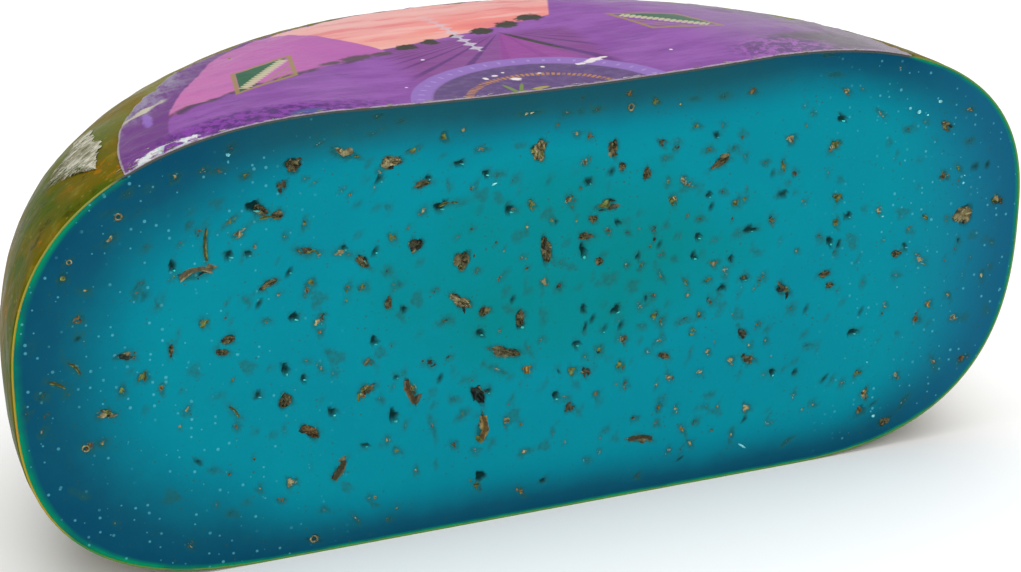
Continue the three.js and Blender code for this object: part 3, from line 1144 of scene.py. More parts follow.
@dataclass
class Paste(Part):
    """The blue-green cheese: its cut face with a pocket at each bit, and its outside under the coating."""

    bits: Sequence[Bit]
    columns: int = 236
    rows: int = 112
    disc_rows: int = 8
    stain_reach: float = 0.6
    stain_share: float = 0.62
    clean_stain: float = 0.1
    pocket_share: float = 0.42
    deepest: float = 1.1
    pit_depth: float = 1.6
    band: float = 15.0
    left_band: float = 23.0
    right_band: float = 8.0
    low_band: float = 8.0
    rim_width: float = 0.8
    label_shade: float = 5.0

    def inset(self, x: Array, y: Array, z: Array) -> Array:
        """Say how deep below the outer skin the paste starts: deeper where the label lies."""
        above = np.where(z > self.form.belly, self.form.under_label(x, y), 0.0)
        return self.form.coat + self.form.label_seat * above

    def side(self, bearing: Array, level: Array) -> tuple[Array, Array]:
        """Find the paste's rounded side under the coating, by bearing and level."""
        out, up = self.form.corner(bearing, level, self.form.coat)
        depth = self.inset(out * np.cos(bearing), out * np.sin(bearing), up)
        return self.form.corner(bearing, level, depth)

    def make_face(self, mesh: Shape) -> None:
        """Stretch a grid over the cut, its rows bent from the flat underside to the dipped top."""
        made, across, level = lay_grid(mesh, self.columns, self.rows)
        right_out, right_up = self.side(np.zeros(len(level)), level)
        left_out, left_up = self.side(np.full(len(level), math.pi), level)
        x = right_out * across - left_out * (1 - across)
        z = right_up * across + left_up * (1 - across)
        shoulder = self.form.shoulder + self.form.shoulder_shift * np.sign(x)
        dip = self.form.top_dip * (1 - np.clip(np.abs(x) / shoulder, 0, 1) ** 2)
        z = z - dip * smooth(level, 0.55, 1.0)
        at_cut = np.zeros(len(x))
        z = np.where(level > 1 - NEARLY, self.form.top(x, at_cut, self.inset(x, at_cut, z)), z)
        put(made, x, at_cut, z)

    def make_back(self, mesh: Shape) -> None:
        """Wrap a second grid round the back, from the cut's lower edge to its upper edge."""
        total = self.rows + 2 * self.disc_rows
        made, across, along = lay_grid(mesh, self.columns, total)
        step = along * total
        level = np.clip((step - self.disc_rows) / self.rows, 0, 1)
        lower = np.clip(step / self.disc_rows, 0, 1)
        upper = np.clip((total - step) / self.disc_rows, 0, 1)
        share = np.minimum(lower, upper)
        bearing = math.pi * (1 - across)
        out, up = self.side(bearing, level)
        right_out, _ = self.side(np.zeros(len(level)), level)
        left_out, _ = self.side(np.full(len(level), math.pi), level)
        x = out * np.cos(bearing) * share + (right_out * across - left_out * (1 - across)) * (1 - share)
        y = out * np.sin(bearing) * share
        z = np.where(upper < 1 - NEARLY, self.form.top(x, y, self.inset(x, y, up)), up)
        z = np.where(lower < 1 - NEARLY, self.form.lift(x, np.full(len(x), self.form.coat)), z)
        put(made, x, y, z)

    def refine(self, mesh: Shape, reach: float, least: float) -> None:
        """Split the face's cells round the larger bits.

        Args:
            mesh: the paste.
            reach: how far round a bit, as a share of its half sizes.
            least: bits shorter than this are left out.
        """
        mesh.edges.ensure_lookup_table()
        middles = np.array([[*((edge.verts[0].co + edge.verts[1].co) / 2)] for edge in mesh.edges])
        near = np.zeros(len(middles), bool)
        for bit in self.bits:
            if bit.long < least:
                continue
            along, aside = bit.local(middles[:, 0], middles[:, 2])
            near |= (np.hypot(along, aside) < reach) & (np.abs(middles[:, 1]) < NEARLY)
        chosen = [mesh.edges[int(order)] for order in np.flatnonzero(near)]
        bmesh.ops.subdivide_edges(mesh, edges=chosen, cuts=1, use_grid_fill=True)

    def sculpt(self, mesh: Shape) -> None:
        """Press a pocket into the face at each bit and keep the numbers that the finish reads."""
        x, y, z = places(mesh.verts).T
        on_face = np.abs(y) < NEARLY
        stain, hollow, press, rind = (np.zeros(len(x)) for _ in range(4))
        rind[on_face] = self.form.rind_distance(x[on_face], z[on_face], self.form.coat)
        for order, bit in enumerate(self.bits):
            along, aside = bit.local(x, z)
            apart = np.hypot(along, aside)
            near = on_face & (apart < 4.0)
            if not near.any():
                continue
            angle = np.arctan2(aside[near], along[near])
            wobble = 1 + 0.16 * np.sin(angle * 3 + order) + 0.1 * np.sin(angle * 5 + order * 2.3)
            spread = apart[near] / wobble
            millimetres = (spread - 1) * min(bit.long, bit.wide) / 2
            strength = self.clean_stain if bit.tint in (Tint.CYAN, Tint.PAINTED_GLINT) else self.stain_share
            halo = smooth(millimetres, self.stain_reach, 0.0) * strength
            stain[near] = np.maximum(stain[near], halo)
            if bit.tint in (Tint.DIM, Tint.PAINTED_GLINT):
                continue
            deep = min(self.deepest, bit.wide * self.pocket_share)
            if bit.kind is Kind.PIT:
                deep *= self.pit_depth
                # The hollow layer marks where the finish paints shade into the pit.
                hollow[near] = np.maximum(hollow[near], smooth(spread, 1.12, 0.75))
            press[near] = np.maximum(press[near], deep * np.sqrt(np.clip(1.15 - spread, 0, 1)))
        put(mesh.verts, x, y + press * smooth(rind, 0.3, 1.4), z)
        band = self.band + self.left_band * smooth(-x, 45.0, 108.0) + self.right_band * smooth(x, 60.0, 112.0)
        band = band + self.low_band * smooth(-x, 60.0, 105.0) * smooth(z, 50.0, 18.0)
        ripe = 0.8 * smooth(rind, -0.22 * band, 1.05 * band) ** 1.1 - 0.03
        heart = smooth(np.hypot((x - 2.0) / 62.0, (z - 60.0) / 34.0), 1.1, 0.35)
        ripe = ripe + 0.2 * heart
        at_cut = np.zeros(len(x))
        shown = smooth(np.abs(self.form.top(x, at_cut, 1.0) - z), 0.0, self.label_shade)
        capped = np.clip(self.form.under_label(x, at_cut) * (1 - shown) * (z > self.form.belly), 0, 1)
        width = self.rim_width * (1 + smooth(-x, 60.0, 108.0))
        write_layer(mesh, RIM, smooth(rind, width, 0.15 * width) * (1 - capped))
        write_layer(mesh, RIPENESS, ripe)
        write_layer(mesh, STAIN, stain)
        write_layer(mesh, HOLLOW, hollow)

    def build(self, finish: Material) -> Piece:
        """Make the paste.

        Args:
            finish: its material.

        Returns:
            The finished piece.
        """
        mesh = bmesh.new()
        self.make_face(mesh)
        self.refine(mesh, 1.6, 1.4)
        self.make_back(mesh)
        close_up(mesh, 0.03)
        self.refine(mesh, 1.25, 2.2)
        self.sculpt(mesh)
        face_out(mesh)
        return self.settler.settle(mesh, "blue_green_paste", [finish], "paste", ["cheese_paste"])


@dataclass
class Coat(Part):
    """The glossy coating round the paste, with the label's seat sunk in its top."""

    around: int = 180
    side_rows: int = 96
    disc_rows: int = 14
    wave: float = 0.28

    def relief(self, point: Sequence[float]) -> float:
        """Say how far the coating stands out at a point: soft dents, and small runs lower down."""
        dents = rough(point, 24.0, 3.0, 3) * self.wave
        runs = rough((point[0], point[1], point[2] * 0.4), 6.0, 9.0, 2) * self.wave * 0.35
        return float(dents + runs) * float(smooth(point[1], 0.0, 3.0))

    def build(self, finish: Material, edge_finish: Material) -> Piece:
        """Make the coating.

        Args:
            finish: material of its outer side.
            edge_finish: material of its cut edge.

        Returns:
            The finished piece.
        """
        mesh = bmesh.new()
        total = self.side_rows + 2 * self.disc_rows
        made, across, along = lay_grid(mesh, self.around, total)
        bearing, step = math.pi * (1 - across), along * total
        level = np.clip((step - self.disc_rows) / self.side_rows, 0, 1)
        share = np.clip(np.minimum(step, total - step) / self.disc_rows, 0, 1)
        out, up = self.form.corner(bearing, level, 0.0)
        labelled = self.form.under_label(out * np.cos(bearing), out * np.sin(bearing))
        seat = np.where(up > self.form.belly, labelled, 0)
        out, up = self.form.corner(bearing, level, self.form.label_seat * seat)
        x, y = out * np.cos(bearing) * share, out * np.sin(bearing) * share
        on_top = total - step < self.disc_rows - NEARLY
        put(made, x, y, np.where(on_top, self.form.top(x, y, self.form.label_seat), up))
        close_up(mesh)
        mesh.normal_update()
        for corner in mesh.verts:
            sunk = float(self.form.under_label(np.float64(corner.co.x), np.float64(corner.co.y)))
            if corner.co.z < 1.0 or (corner.co.z > self.form.belly and sunk > 0.0):
                continue
            corner.co += corner.normal * self.relief(corner.co)
        piece = self.settler.settle(mesh, "olive_coating", [finish, edge_finish], "coating", ["rind_coating"])
        thicken(piece, self.form.coat, rim=1)
        return piece


@dataclass
class Label(Part):
    """The round printed paper on top, cut through with the wheel, creased where it meets the shoulder."""

    columns: int = 250
    rows: int = 84
    thickness: float = 0.2
    clearance: float = 0.06
    crease: float = 0.34
    fold: float = 0.9

    def relief(self, x: float, y: float) -> float:
        """Say how far the paper stands off at a place: folds at the left shoulder, fine creases elsewhere."""
        across, behind = x - self.form.label_x, y - self.form.label_y
        reach = math.hypot(across, behind)
        turn = math.atan2(behind, across)
        near_edge = float(smooth(reach, 60.0, 90.0))
        wrinkled = float(smooth(-across, 45.0, 80.0)) * float(smooth(reach, 66.0, 88.0))
        puckers = abs(rough((turn * 46.0, reach * 0.16, 0.0), 3.4, 5.0, 2)) * self.fold * wrinkled
        right = float(smooth(across, 62.0, 84.0))
        dents = abs(rough((x, y * 0.5, 0.0), 9.0, 2.0, 3)) * 0.7 * right
        fine = rough((x, y, 0.0), 11.0, 7.0, 4) * self.crease * (0.25 + 0.75 * near_edge)
        return (puckers + dents + fine) * float(smooth(y, -0.5, 2.5))

    def build(self, finish: Material, edge_finish: Material) -> Piece:
        """Make the label.

        Args:
            finish: its print.
            edge_finish: material of its paper edge.

        Returns:
            The finished piece.
        """
        mesh = bmesh.new()
        made, across, along = lay_grid(mesh, self.columns, self.rows)
        half_chord = math.sqrt(self.form.label_radius**2 - self.form.label_y**2)
        x = self.form.label_x - half_chord * np.cos(math.pi * across)
        reach = self.form.label_radius**2 - (x - self.form.label_x) ** 2
        y = np.maximum((np.sqrt(np.maximum(reach, 0)) + self.form.label_y) * along, 0.0)
        put(made, x, y, self.form.top(x, y, self.form.label_seat - self.thickness - self.clearance))
        face_up(mesh)
        mesh.normal_update()
        for corner in mesh.verts:
            corner.co += corner.normal * self.relief(corner.co.x, corner.co.y)
        piece = self.settler.settle(mesh, "printed_label", [finish, edge_finish], "label", ["top_label"])
        thicken(piece, self.thickness, rim=1)
        return piece


@dataclass
class Strand:
    """A thin fibre that follows the wheel's upper side from one place to another."""

    start: tuple[float, float]
    end: tuple[float, float]
    thick: float
    rise: float
    bend: float
    clearance: float = 0.07

    def add_to(self, whole: Shape, form: WheelForm, parts: int = 5) -> None:
        """Sweep a three-sided thread along the skin and add it to a mesh.

        Args:
            whole: where it is added.
            form: the wheel that it lies on.
            parts: how many lengths it is made of.
        """
        mesh = bmesh.new()
        bmesh.ops.create_cone(
            mesh, cap_ends=True, segments=3, radius1=self.thick / 2, radius2=self.thick / 5, depth=1.0)
        lengths = [edge for edge in mesh.edges if abs(edge.verts[0].co.z - edge.verts[1].co.z) > 0.5]
        bmesh.ops.subdivide_edges(mesh, edges=lengths, cuts=parts - 1)
        way = Vector((self.end[0] - self.start[0], self.end[1] - self.start[1]))
        aside = Vector((-way.y, way.x)).normalized()
        for corner in mesh.verts:
            share = corner.co.z + 0.5
            bow = math.sin(share * math.pi) * self.bend
            x = self.start[0] + way.x * share + aside.x * (corner.co.x + bow)
            y = max(0.0, self.start[1] + way.y * share + aside.y * (corner.co.x + bow))
            lift = self.rise * math.sin(share * math.pi) + self.clearance
            corner.co = (x, y, form.top_at(x, y) + lift + corner.co.y)
        join(whole, mesh)


@dataclass
class Scrap(Part):
    """The torn patch of paper fibre on the left-hand shoulder: a thin kite, fringed along its lower edge."""

    columns: int = 84
    rows: int = 26
    long: float = 34.0
    wide: float = 12.0
    shift: float = -0.08
    widest_at: float = -0.2
    far_share: float = 0.3
    near_draw: float = 3.6
    fringe: int = 90
    ribs: int = 70
    thickness: float = 0.08
    nearer: float = 3.2
    seed: int = 41

    def middle(self) -> tuple[float, float]:
        """Bearing and distance of the patch's middle, from its CAD node."""
        low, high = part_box("torn_scrap")
        x = (low.x + high.x) / 2 / MM
        y = (low.y + high.y) / 2 / MM - self.form.cut_y
        return math.atan2(y, x), math.hypot(x, y) - self.nearer

    def spot(self, along: float, share: float) -> tuple[float, float]:
        """Find a place on the patch.

        Args:
            along: -1 at the end by the cut, 1 at the far end.
            share: -1 at the inner edge, 1 at the outer, fringed edge.

        Returns:
            Its place right of the axis and behind the cut.
        """
        bearing, out = self.middle()
        near = max(0.0, (self.widest_at - along) / (1 + self.widest_at))
        far = max(0.0, (along - self.widest_at) / (1 - self.widest_at))
        half = self.wide / 2 * max(0.05, 1 - near - (1 - self.far_share) * far)
        reach = out - self.near_draw * near + 0.8 * far + half * share
        turned = bearing - (along + self.shift) * self.long / 2 / out
        return reach * math.cos(turned), reach * math.sin(turned)

    def build(self, finish: Material) -> Piece:
        """Make the patch, the fibres that lie in it and its fringe.

        Args:
            finish: its material.

        Returns:
            The finished piece.
        """
        draw = Draw(self.seed)
        mesh = bmesh.new()
        bmesh.ops.create_grid(mesh, x_segments=self.columns, y_segments=self.rows, size=1.0)
        along_way, share_way, _ = places(mesh.verts).T
        write_layer(mesh, HOLLOW, smooth(share_way - 0.5 * along_way, -0.1, 1.1))
        for corner in mesh.verts:
            along, share = corner.co.x, corner.co.y
            ragged = 0.9 + 0.3 * rough((along * 16.0, 0.0, math.copysign(4.0, share)), 2.6, 1.0, 4)
            x, y = self.spot(along, share * ragged)
            lift = 0.06 + 0.16 * abs(rough((x * 0.6, y * 1.6, 0.0), 2.4, 6.0, 3))
            corner.co = (x, y, self.form.top_at(x, y) + lift)
        face_up(mesh)
        bmesh.ops.solidify(mesh, geom=mesh.faces[:], thickness=self.thickness)
        for order in range(self.fringe + self.ribs):
            at_edge = order < self.fringe
            along = draw.uniform(-0.95, 0.35) if at_edge else draw.uniform(-0.8, 0.9)
            root = draw.uniform(0.3, 0.95) if at_edge else draw.uniform(-0.9, 0.4)
            tip = root + (draw.uniform(0.25, 0.6) if at_edge else draw.uniform(0.3, 0.7))
            slant = draw.normal(-0.03, 0.06)
            strand = Strand(
                self.spot(along, root), self.spot(along + slant, tip), draw.uniform(0.12, 0.3),
                draw.uniform(0.02, 0.18), draw.normal(0.0, 0.25),
            )
            strand.add_to(mesh, self.form)
        face_out(mesh)
        return self.settler.settle(mesh, "torn_fibre_patch", [finish], "scrap", ["torn_scrap"])


@dataclass
class LabelTear(Part):
    """White fibres torn up along the label's cut edge, most of them at its left end."""

    strands: int = 70
    end_share: float = 0.4
    seed: int = 12

    def build(self, finish: Material) -> Piece:
        """Make the fibres.

        Args:
            finish: their material.

        Returns:
            The finished piece.
        """
        draw = Draw(self.seed)
        mesh = bmesh.new()
        for order in range(self.strands):
            at_end = order < self.strands * self.end_share
            x = draw.uniform(-97.0, -85.0) if at_end else draw.uniform(-84.0, 88.0)
            y = abs(draw.normal(0.0, 2.0 if at_end else 0.35)) + 0.15
            turn = draw.uniform(0.0, math.pi) if at_end else draw.normal(0.0, 0.25)
            long = draw.uniform(0.8, 3.4) if at_end else draw.uniform(0.6, 2.2)
            end = (x + math.cos(turn) * long, max(0.1, y + math.sin(turn) * long))
            thick, rise, bend = draw.uniform(0.1, 0.24), draw.uniform(-0.02, 0.08), draw.normal(0.0, 0.2)
            Strand((x, y), end, thick, rise, bend).add_to(mesh, self.form, 4)
        face_out(mesh)
        return self.settler.settle(mesh, "label_tear_fibres", [finish], "scrap")


# The thirty large bits that the CAD names, in its order: sort, long, wide, lean and tint.
LARGE_BITS = (
    (Kind.BUD, 3.4, 3.2, 0, Tint.BROWN), (Kind.HUSK, 6.4, 1.8, -22, Tint.TAN),
    (Kind.BUD, 4.8, 2.4, 5, Tint.TAN), (Kind.BUD, 4.8, 3.2, 80, Tint.TAN),
    (Kind.BUD, 4.0, 2.2, 90, Tint.BROWN), (Kind.BUD, 5.4, 1.9, 30, Tint.BROWN),
    (Kind.STALK, 7.2, 1.8, 8, Tint.TAN), (Kind.HUSK, 6.0, 1.6, -15, Tint.DARK),
    (Kind.BUD, 3.4, 2.6, 20, Tint.DARK), (Kind.BUD, 4.2, 3.6, 60, Tint.BROWN),
    (Kind.BUD, 6.2, 2.4, -82, Tint.BROWN), (Kind.HUSK, 4.6, 2.6, 10, Tint.OLIVE),
    (Kind.BUD, 6.0, 2.2, -35, Tint.TAN), (Kind.BUD, 8.0, 2.2, -18, Tint.BROWN),
    (Kind.STALK, 6.2, 2.0, 85, Tint.ORANGE), (Kind.BUD, 5.0, 2.6, -60, Tint.BLACK),
    (Kind.STALK, 6.2, 1.8, -70, Tint.RUST), (Kind.BUD, 5.0, 2.2, -40, Tint.RUST),
    (Kind.BUD, 3.4, 3.0, 60, Tint.BROWN), (Kind.BUD, 5.0, 4.4, 30, Tint.TAN),
    (Kind.HUSK, 4.6, 2.4, -38, Tint.BROWN), (Kind.HUSK, 3.2, 2.2, -20, Tint.TAN),
    (Kind.HUSK, 4.2, 1.9, -5, Tint.TAN), (Kind.HUSK, 4.2, 1.9, -5, Tint.TAN),
    (Kind.HUSK, 3.0, 2.0, -35, Tint.BROWN), (Kind.HUSK, 4.2, 2.1, -25, Tint.BROWN),
    (Kind.STALK, 5.0, 1.7, 55, Tint.BROWN), (Kind.HUSK, 4.6, 2.2, 22, Tint.RUST),
    (Kind.HUSK, 3.2, 1.8, 85, Tint.ORANGE), (Kind.STALK, 6.2, 1.6, -10, Tint.BROWN),
)

# The smaller bits that show on the cut: right of the axis, height, long, wide, and lean if any.
SMALL_BITS = {
    (Kind.PIT, Tint.BLACK): (
        (-76.6, 75.1, 2.0, 1.5), (-70.8, 85.3, 3.0, 2.2, 10), (-63.2, 69.5, 1.3, 1.2),
        (-50.5, 73.0, 1.6, 1.2), (-41.8, 88.0, 1.0, 1.8), (-30.6, 86.7, 1.6, 1.2), (-23.3, 89.2, 2.5, 0.9),
        (-17.0, 86.0, 2.0, 1.3), (-28.0, 79.6, 3.0, 1.6, 5), (-11.3, 76.8, 2.0, 1.8), (-43.3, 71.5, 1.0, 1.5),
        (-62.5, 58.6, 2.2, 1.7), (8.2, 80.5, 2.0, 1.1, -20), (38.8, 73.5, 1.5, 1.4), (40.5, 87.7, 1.4, 1.0),
        (36.3, 63.7, 1.6, 1.4), (50.0, 63.3, 4.0, 1.2), (35.3, 58.7, 1.8, 1.3), (-71.5, 41.2, 2.0, 1.0),
        (-60.9, 43.8, 1.5, 1.3), (-54.3, 34.3, 1.8, 1.8), (-39.0, 40.4, 1.5, 1.0), (-39.8, 30.8, 1.8, 2.6),
        (-44.0, 50.0, 1.5, 2.0), (-18.7, 48.0, 2.0, 1.5), (0.3, 29.2, 1.5, 2.0), (15.4, 48.4, 2.6, 1.6, 30),
        (5.5, 41.5, 1.8, 1.4), (79.5, 32.8, 3.0, 1.4), (63.7, 24.3, 1.6, 1.2), (73.3, 88.0, 2.0, 1.4),
        (76.6, 63.4, 1.5, 1.2), (71.8, 57.6, 1.4, 2.0), (57.5, 25.7, 1.4, 1.9), (-46.7, 24.7, 2.0, 0.9),
        (-72.3, 74.8, 1.8, 1.4), (7.0, 64.2, 1.4, 3.2, 20), (49.0, 51.3, 2.0, 1.3), (92.8, 53.4, 1.4, 1.2),
        (-16.7, 33.2, 1.6, 1.4), (12.3, 43.7, 1.2, 1.1), (-8.6, 48.6, 1.8, 2.0), (-64.9, 46.5, 1.4, 2.6),
        (-89.0, 74.3, 1.4, 2.3), (-46.3, 69.6, 2.4, 1.5, -45),
    ),
    (Kind.BUD, Tint.BROWN): (
        (-69.0, 84.0, 3.4, 2.2, -30), (-46.3, 69.0, 4.0, 1.8, -45), (-32.0, 85.3, 4.0, 1.5, 10),
        (-68.0, 67.0, 4.5, 1.4, 25), (-65.3, 82.6, 2.5, 2.0), (16.5, 83.2, 2.0, 1.8, 80),
        (22.8, 80.8, 2.8, 1.8, 80), (7.8, 67.5, 4.0, 1.5, -5), (-17.3, 53.0, 3.0, 2.0, 10),
        (28.3, 34.7, 3.2, 1.4, -25), (-90.3, 55.0, 3.0, 1.2, 85), (-77.5, 55.4, 3.0, 2.0, 10),
        (-79.0, 52.7, 3.0, 1.5, -10), (90.0, 7.0, 3.0, 1.8, 15), (-40.5, 58.5, 3.0, 1.5, 80),
        (11.0, 61.0, 2.0, 1.8), (70.8, 49.2, 3.0, 1.5, 5), (-8.6, 50.0, 4.0, 2.0, 80), (9.4, 71.5, 2.2, 1.6),
        (90.7, 51.6, 2.8, 1.6), (72.4, 46.0, 2.2, 1.5),
    ),
    (Kind.HUSK, Tint.TAN): (
        (-87.3, 94.0, 2.0, 1.7, 40), (-81.2, 94.7, 1.8, 1.2), (-102.0, 82.0, 3.2, 1.3, 35),
        (-108.0, 71.5, 2.5, 1.0), (-74.0, 79.5, 3.0, 1.5, 25), (-63.8, 77.4, 1.4, 1.2),
        (-51.0, 71.7, 4.0, 1.2, -10), (-42.0, 89.6, 1.5, 1.1), (-32.0, 78.9, 2.0, 1.7),
        (-10.0, 76.3, 1.6, 1.3), (5.2, 92.3, 2.0, 1.5), (7.4, 85.5, 2.4, 1.4, 40), (48.2, 81.6, 2.0, 1.1, 85),
        (71.0, 98.9, 2.8, 0.9), (74.3, 94.5, 2.2, 1.3, -40), (84.0, 88.0, 3.0, 1.0, -35),
        (97.4, 49.2, 4.0, 1.2, -40), (91.2, 45.8, 3.0, 1.1), (106.3, 38.3, 2.5, 1.2, -60),
        (108.3, 32.2, 2.5, 1.5), (103.3, 20.7, 3.8, 1.0, -65), (95.2, 11.5, 3.5, 1.0, 55),
        (69.2, 15.2, 2.2, 1.0, -35), (64.0, 18.7, 1.8, 1.0, 85), (77.3, 19.4, 1.6, 1.4),
        (92.8, 19.0, 2.0, 1.7, 80), (46.2, 30.5, 2.2, 1.8, 80), (27.0, 38.8, 3.0, 1.2, 25),
        (29.9, 28.8, 2.5, 1.4, -50), (27.0, 55.0, 3.0, 1.2, -60), (-34.5, 16.0, 2.0, 1.2, 85),
        (-71.8, 18.3, 2.0, 1.3, 85), (-88.3, 7.5, 2.0, 1.2, 85), (-119.2, 40.7, 2.2, 0.9, 55),
        (-122.2, 45.4, 1.8, 1.0, 80), (-106.5, 35.8, 2.5, 1.4, 20), (-87.5, 40.3, 2.5, 1.2, 60),
        (-18.0, 91.5, 3.0, 1.2), (115.7, 42.3, 3.0, 1.0, 85), (26.7, 17.3, 2.0, 1.4),
        (8.7, 11.0, 2.0, 1.1, -30), (88.2, 38.5, 1.8, 1.5), (-59.0, 90.0, 1.4, 1.0), (42.2, 90.0, 1.4, 1.2),
        (84.9, 63.4, 2.0, 1.5, 80), (-56.7, 45.5, 2.4, 0.9, -60), (38.0, 28.5, 1.8, 1.3),
        (18.0, 59.0, 1.6, 1.4), (22.5, 43.3, 2.3, 0.9), (-14.3, 38.0, 4.5, 1.1, -30),
        (-7.5, 16.0, 3.0, 1.3, 20),
    ),
    (Kind.HUSK, Tint.RUST): (
        (-110.0, 65.2, 2.5, 1.5), (-109.2, 35.6, 2.0, 1.8), (-76.6, 34.5, 2.0, 1.7), (-66.9, 14.6, 2.0, 1.5),
        (-30.4, 26.5, 5.0, 0.8, -75), (13.2, 68.0, 1.8, 1.5, 80), (49.5, 97.2, 2.2, 1.4),
        (-78.0, 94.2, 2.5, 0.9), (-75.0, 99.0, 2.0, 1.0, 85), (-83.0, 81.0, 1.6, 1.4), (20.8, 19.7, 2.2, 1.5),
        (111.8, 20.5, 3.0, 1.9, 20),
    ),
    (Kind.HUSK, Tint.ORANGE): (
        (-36.5, 100.3, 1.3, 1.0), (108.8, 86.0, 2.3, 1.1), (100.8, 36.8, 2.2, 1.8), (-6.8, 36.8, 2.5, 2.0),
        (-19.8, 18.5, 2.0, 1.5), (33.6, 14.5, 3.0, 1.2, -55), (68.9, 104.0, 2.0, 1.1),
        (-92.8, 46.5, 2.5, 1.3, 85), (-59.8, 47.5, 1.4, 1.1), (-120.4, 60.6, 1.2, 1.0),
        (-102.3, 88.0, 1.3, 1.1), (118.0, 44.5, 1.4, 1.1), (-8.5, 6.0, 3.0, 1.0, -55),
        (62.5, 6.3, 3.0, 0.9, 30), (12.0, 62.8, 1.3, 1.1),
    ),
    (Kind.HUSK, Tint.OLIVE): (
        (-39.3, 73.8, 2.5, 1.5, -50), (-34.0, 93.3, 3.0, 1.2, 15), (-23.0, 79.6, 2.0, 0.8),
        (35.3, 90.6, 2.3, 1.3), (33.5, 52.5, 3.0, 1.0, -60), (-46.3, 63.0, 2.5, 1.5), (104.4, 58.7, 1.4, 1.1),
        (117.7, 51.0, 1.4, 1.1), (-6.5, 41.7, 3.0, 0.7, -60), (7.8, 37.8, 2.0, 1.0, -45),
        (16.8, 34.0, 2.2, 2.0), (35.6, 39.6, 1.9, 1.6), (-76.0, 82.5, 4.0, 1.0, 35), (-68.8, 58.6, 2.5, 1.0),
        (58.2, 78.0, 3.0, 1.2, 85),
    ),
    (Kind.HUSK, Tint.GREEN): (
        (-89.3, 71.5, 1.2, 1.0), (-0.8, 63.0, 1.8, 0.9, -60), (106.8, 71.4, 2.3, 1.2, -40),
        (1.6, 62.0, 1.4, 0.9, -40), (86.6, 56.0, 1.3, 0.9),
    ),
    (Kind.HUSK, Tint.CREAM): (
        (-42.0, 102.0, 1.4, 1.0), (-6.5, 98.5, 4.5, 0.9), (2.5, 97.5, 2.0, 1.0), (6.0, 97.5, 1.4, 1.0),
        (34.5, 97.2, 2.0, 0.9), (24.0, 36.6, 1.5, 1.1), (40.0, 33.6, 1.7, 1.8), (51.2, 33.6, 2.0, 1.4, 60),
        (96.4, 84.2, 1.4, 0.8), (65.5, 90.2, 1.5, 0.9), (-49.3, 6.5, 2.5, 0.7, -60),
        (47.0, 10.8, 3.5, 1.2, 80), (-43.5, 98.1, 1.2, 0.9), (-55.5, 97.5, 1.2, 0.9), (66.0, 34.2, 1.3, 1.0),
    ),
    (Kind.STALK, Tint.OLIVE): (
        (-81.5, 78.0, 7.2, 0.9, 88), (-111.4, 54.2, 3.6, 0.7, -52), (-115.4, 51.0, 3.8, 0.7, -28),
        (-77.0, 38.2, 3.4, 0.7, -52), (-26.0, 79.8, 4.4, 0.6, 4), (-67.6, 82.4, 4.0, 0.6, 4),
    ),
    (Kind.RING, Tint.TAN): (
        (-100.0, 86.8, 1.9, 1.7), (18.5, 97.0, 1.9, 1.6, 80), (-59.5, 3.5, 2.2, 1.9),
        (-111.0, 78.2, 1.3, 1.2), (-110.2, 35.2, 1.9, 1.7),
    ),
    (Kind.CRUMB, Tint.CYAN): (
        (-75.8, 97.5, 1.1, 0.9), (-15.0, 83.0, 1.6, 0.6, 20), (94.5, 87.0, 1.4, 1.1), (100.3, 89.0, 1.2, 0.9),
        (108.5, 69.3, 0.9, 0.8), (108.3, 67.4, 0.9, 0.7), (86.0, 61.8, 1.3, 0.7), (86.8, 9.0, 1.2, 0.9),
        (50.0, 7.4, 3.0, 0.6, -35), (92.0, 88.2, 1.0, 0.8), (97.0, 86.0, 0.9, 0.7), (84.0, 24.0, 1.0, 0.8),
    ),
    (Kind.PIT, Tint.DIM): (
        (10.0, 97.5, 3.0, 1.4), (42.0, 97.0, 3.0, 1.5), (-14.0, 85.2, 3.0, 1.2), (38.5, 84.5, 2.6, 1.5),
        (45.2, 84.0, 2.4, 1.6), (53.5, 79.5, 2.4, 1.6), (42.5, 73.8, 2.2, 1.4), (27.5, 83.8, 2.4, 1.5),
        (36.7, 67.8, 2.4, 1.6), (33.0, 42.8, 4.0, 1.2), (-27.0, 52.0, 4.0, 1.6), (62.0, 41.5, 2.6, 1.5),
        (109.4, 78.0, 2.4, 1.6), (91.8, 83.0, 3.0, 1.6), (-25.0, 32.5, 2.4, 1.5), (-82.1, 25.0, 2.2, 1.4),
        (-118.7, 49.0, 2.4, 1.4), (37.0, 16.0, 2.2, 1.6), (40.5, 22.5, 2.0, 1.3), (67.0, 31.0, 2.4, 1.4),
        (-78.6, 13.5, 2.2, 1.3), (49.0, 51.7, 2.6, 1.5), (-40.5, 66.0, 2.4, 1.4), (46.5, 63.0, 2.0, 1.3),
    ),
}


# Tints of the scattered flecks; one that is named twice is drawn twice as often.
FLECK_TINTS = (
    Tint.DIM, Tint.BROWN, Tint.DARK, Tint.TAN, Tint.OLIVE, Tint.BLACK, Tint.TAN, Tint.RUST, Tint.OLIVE,
)


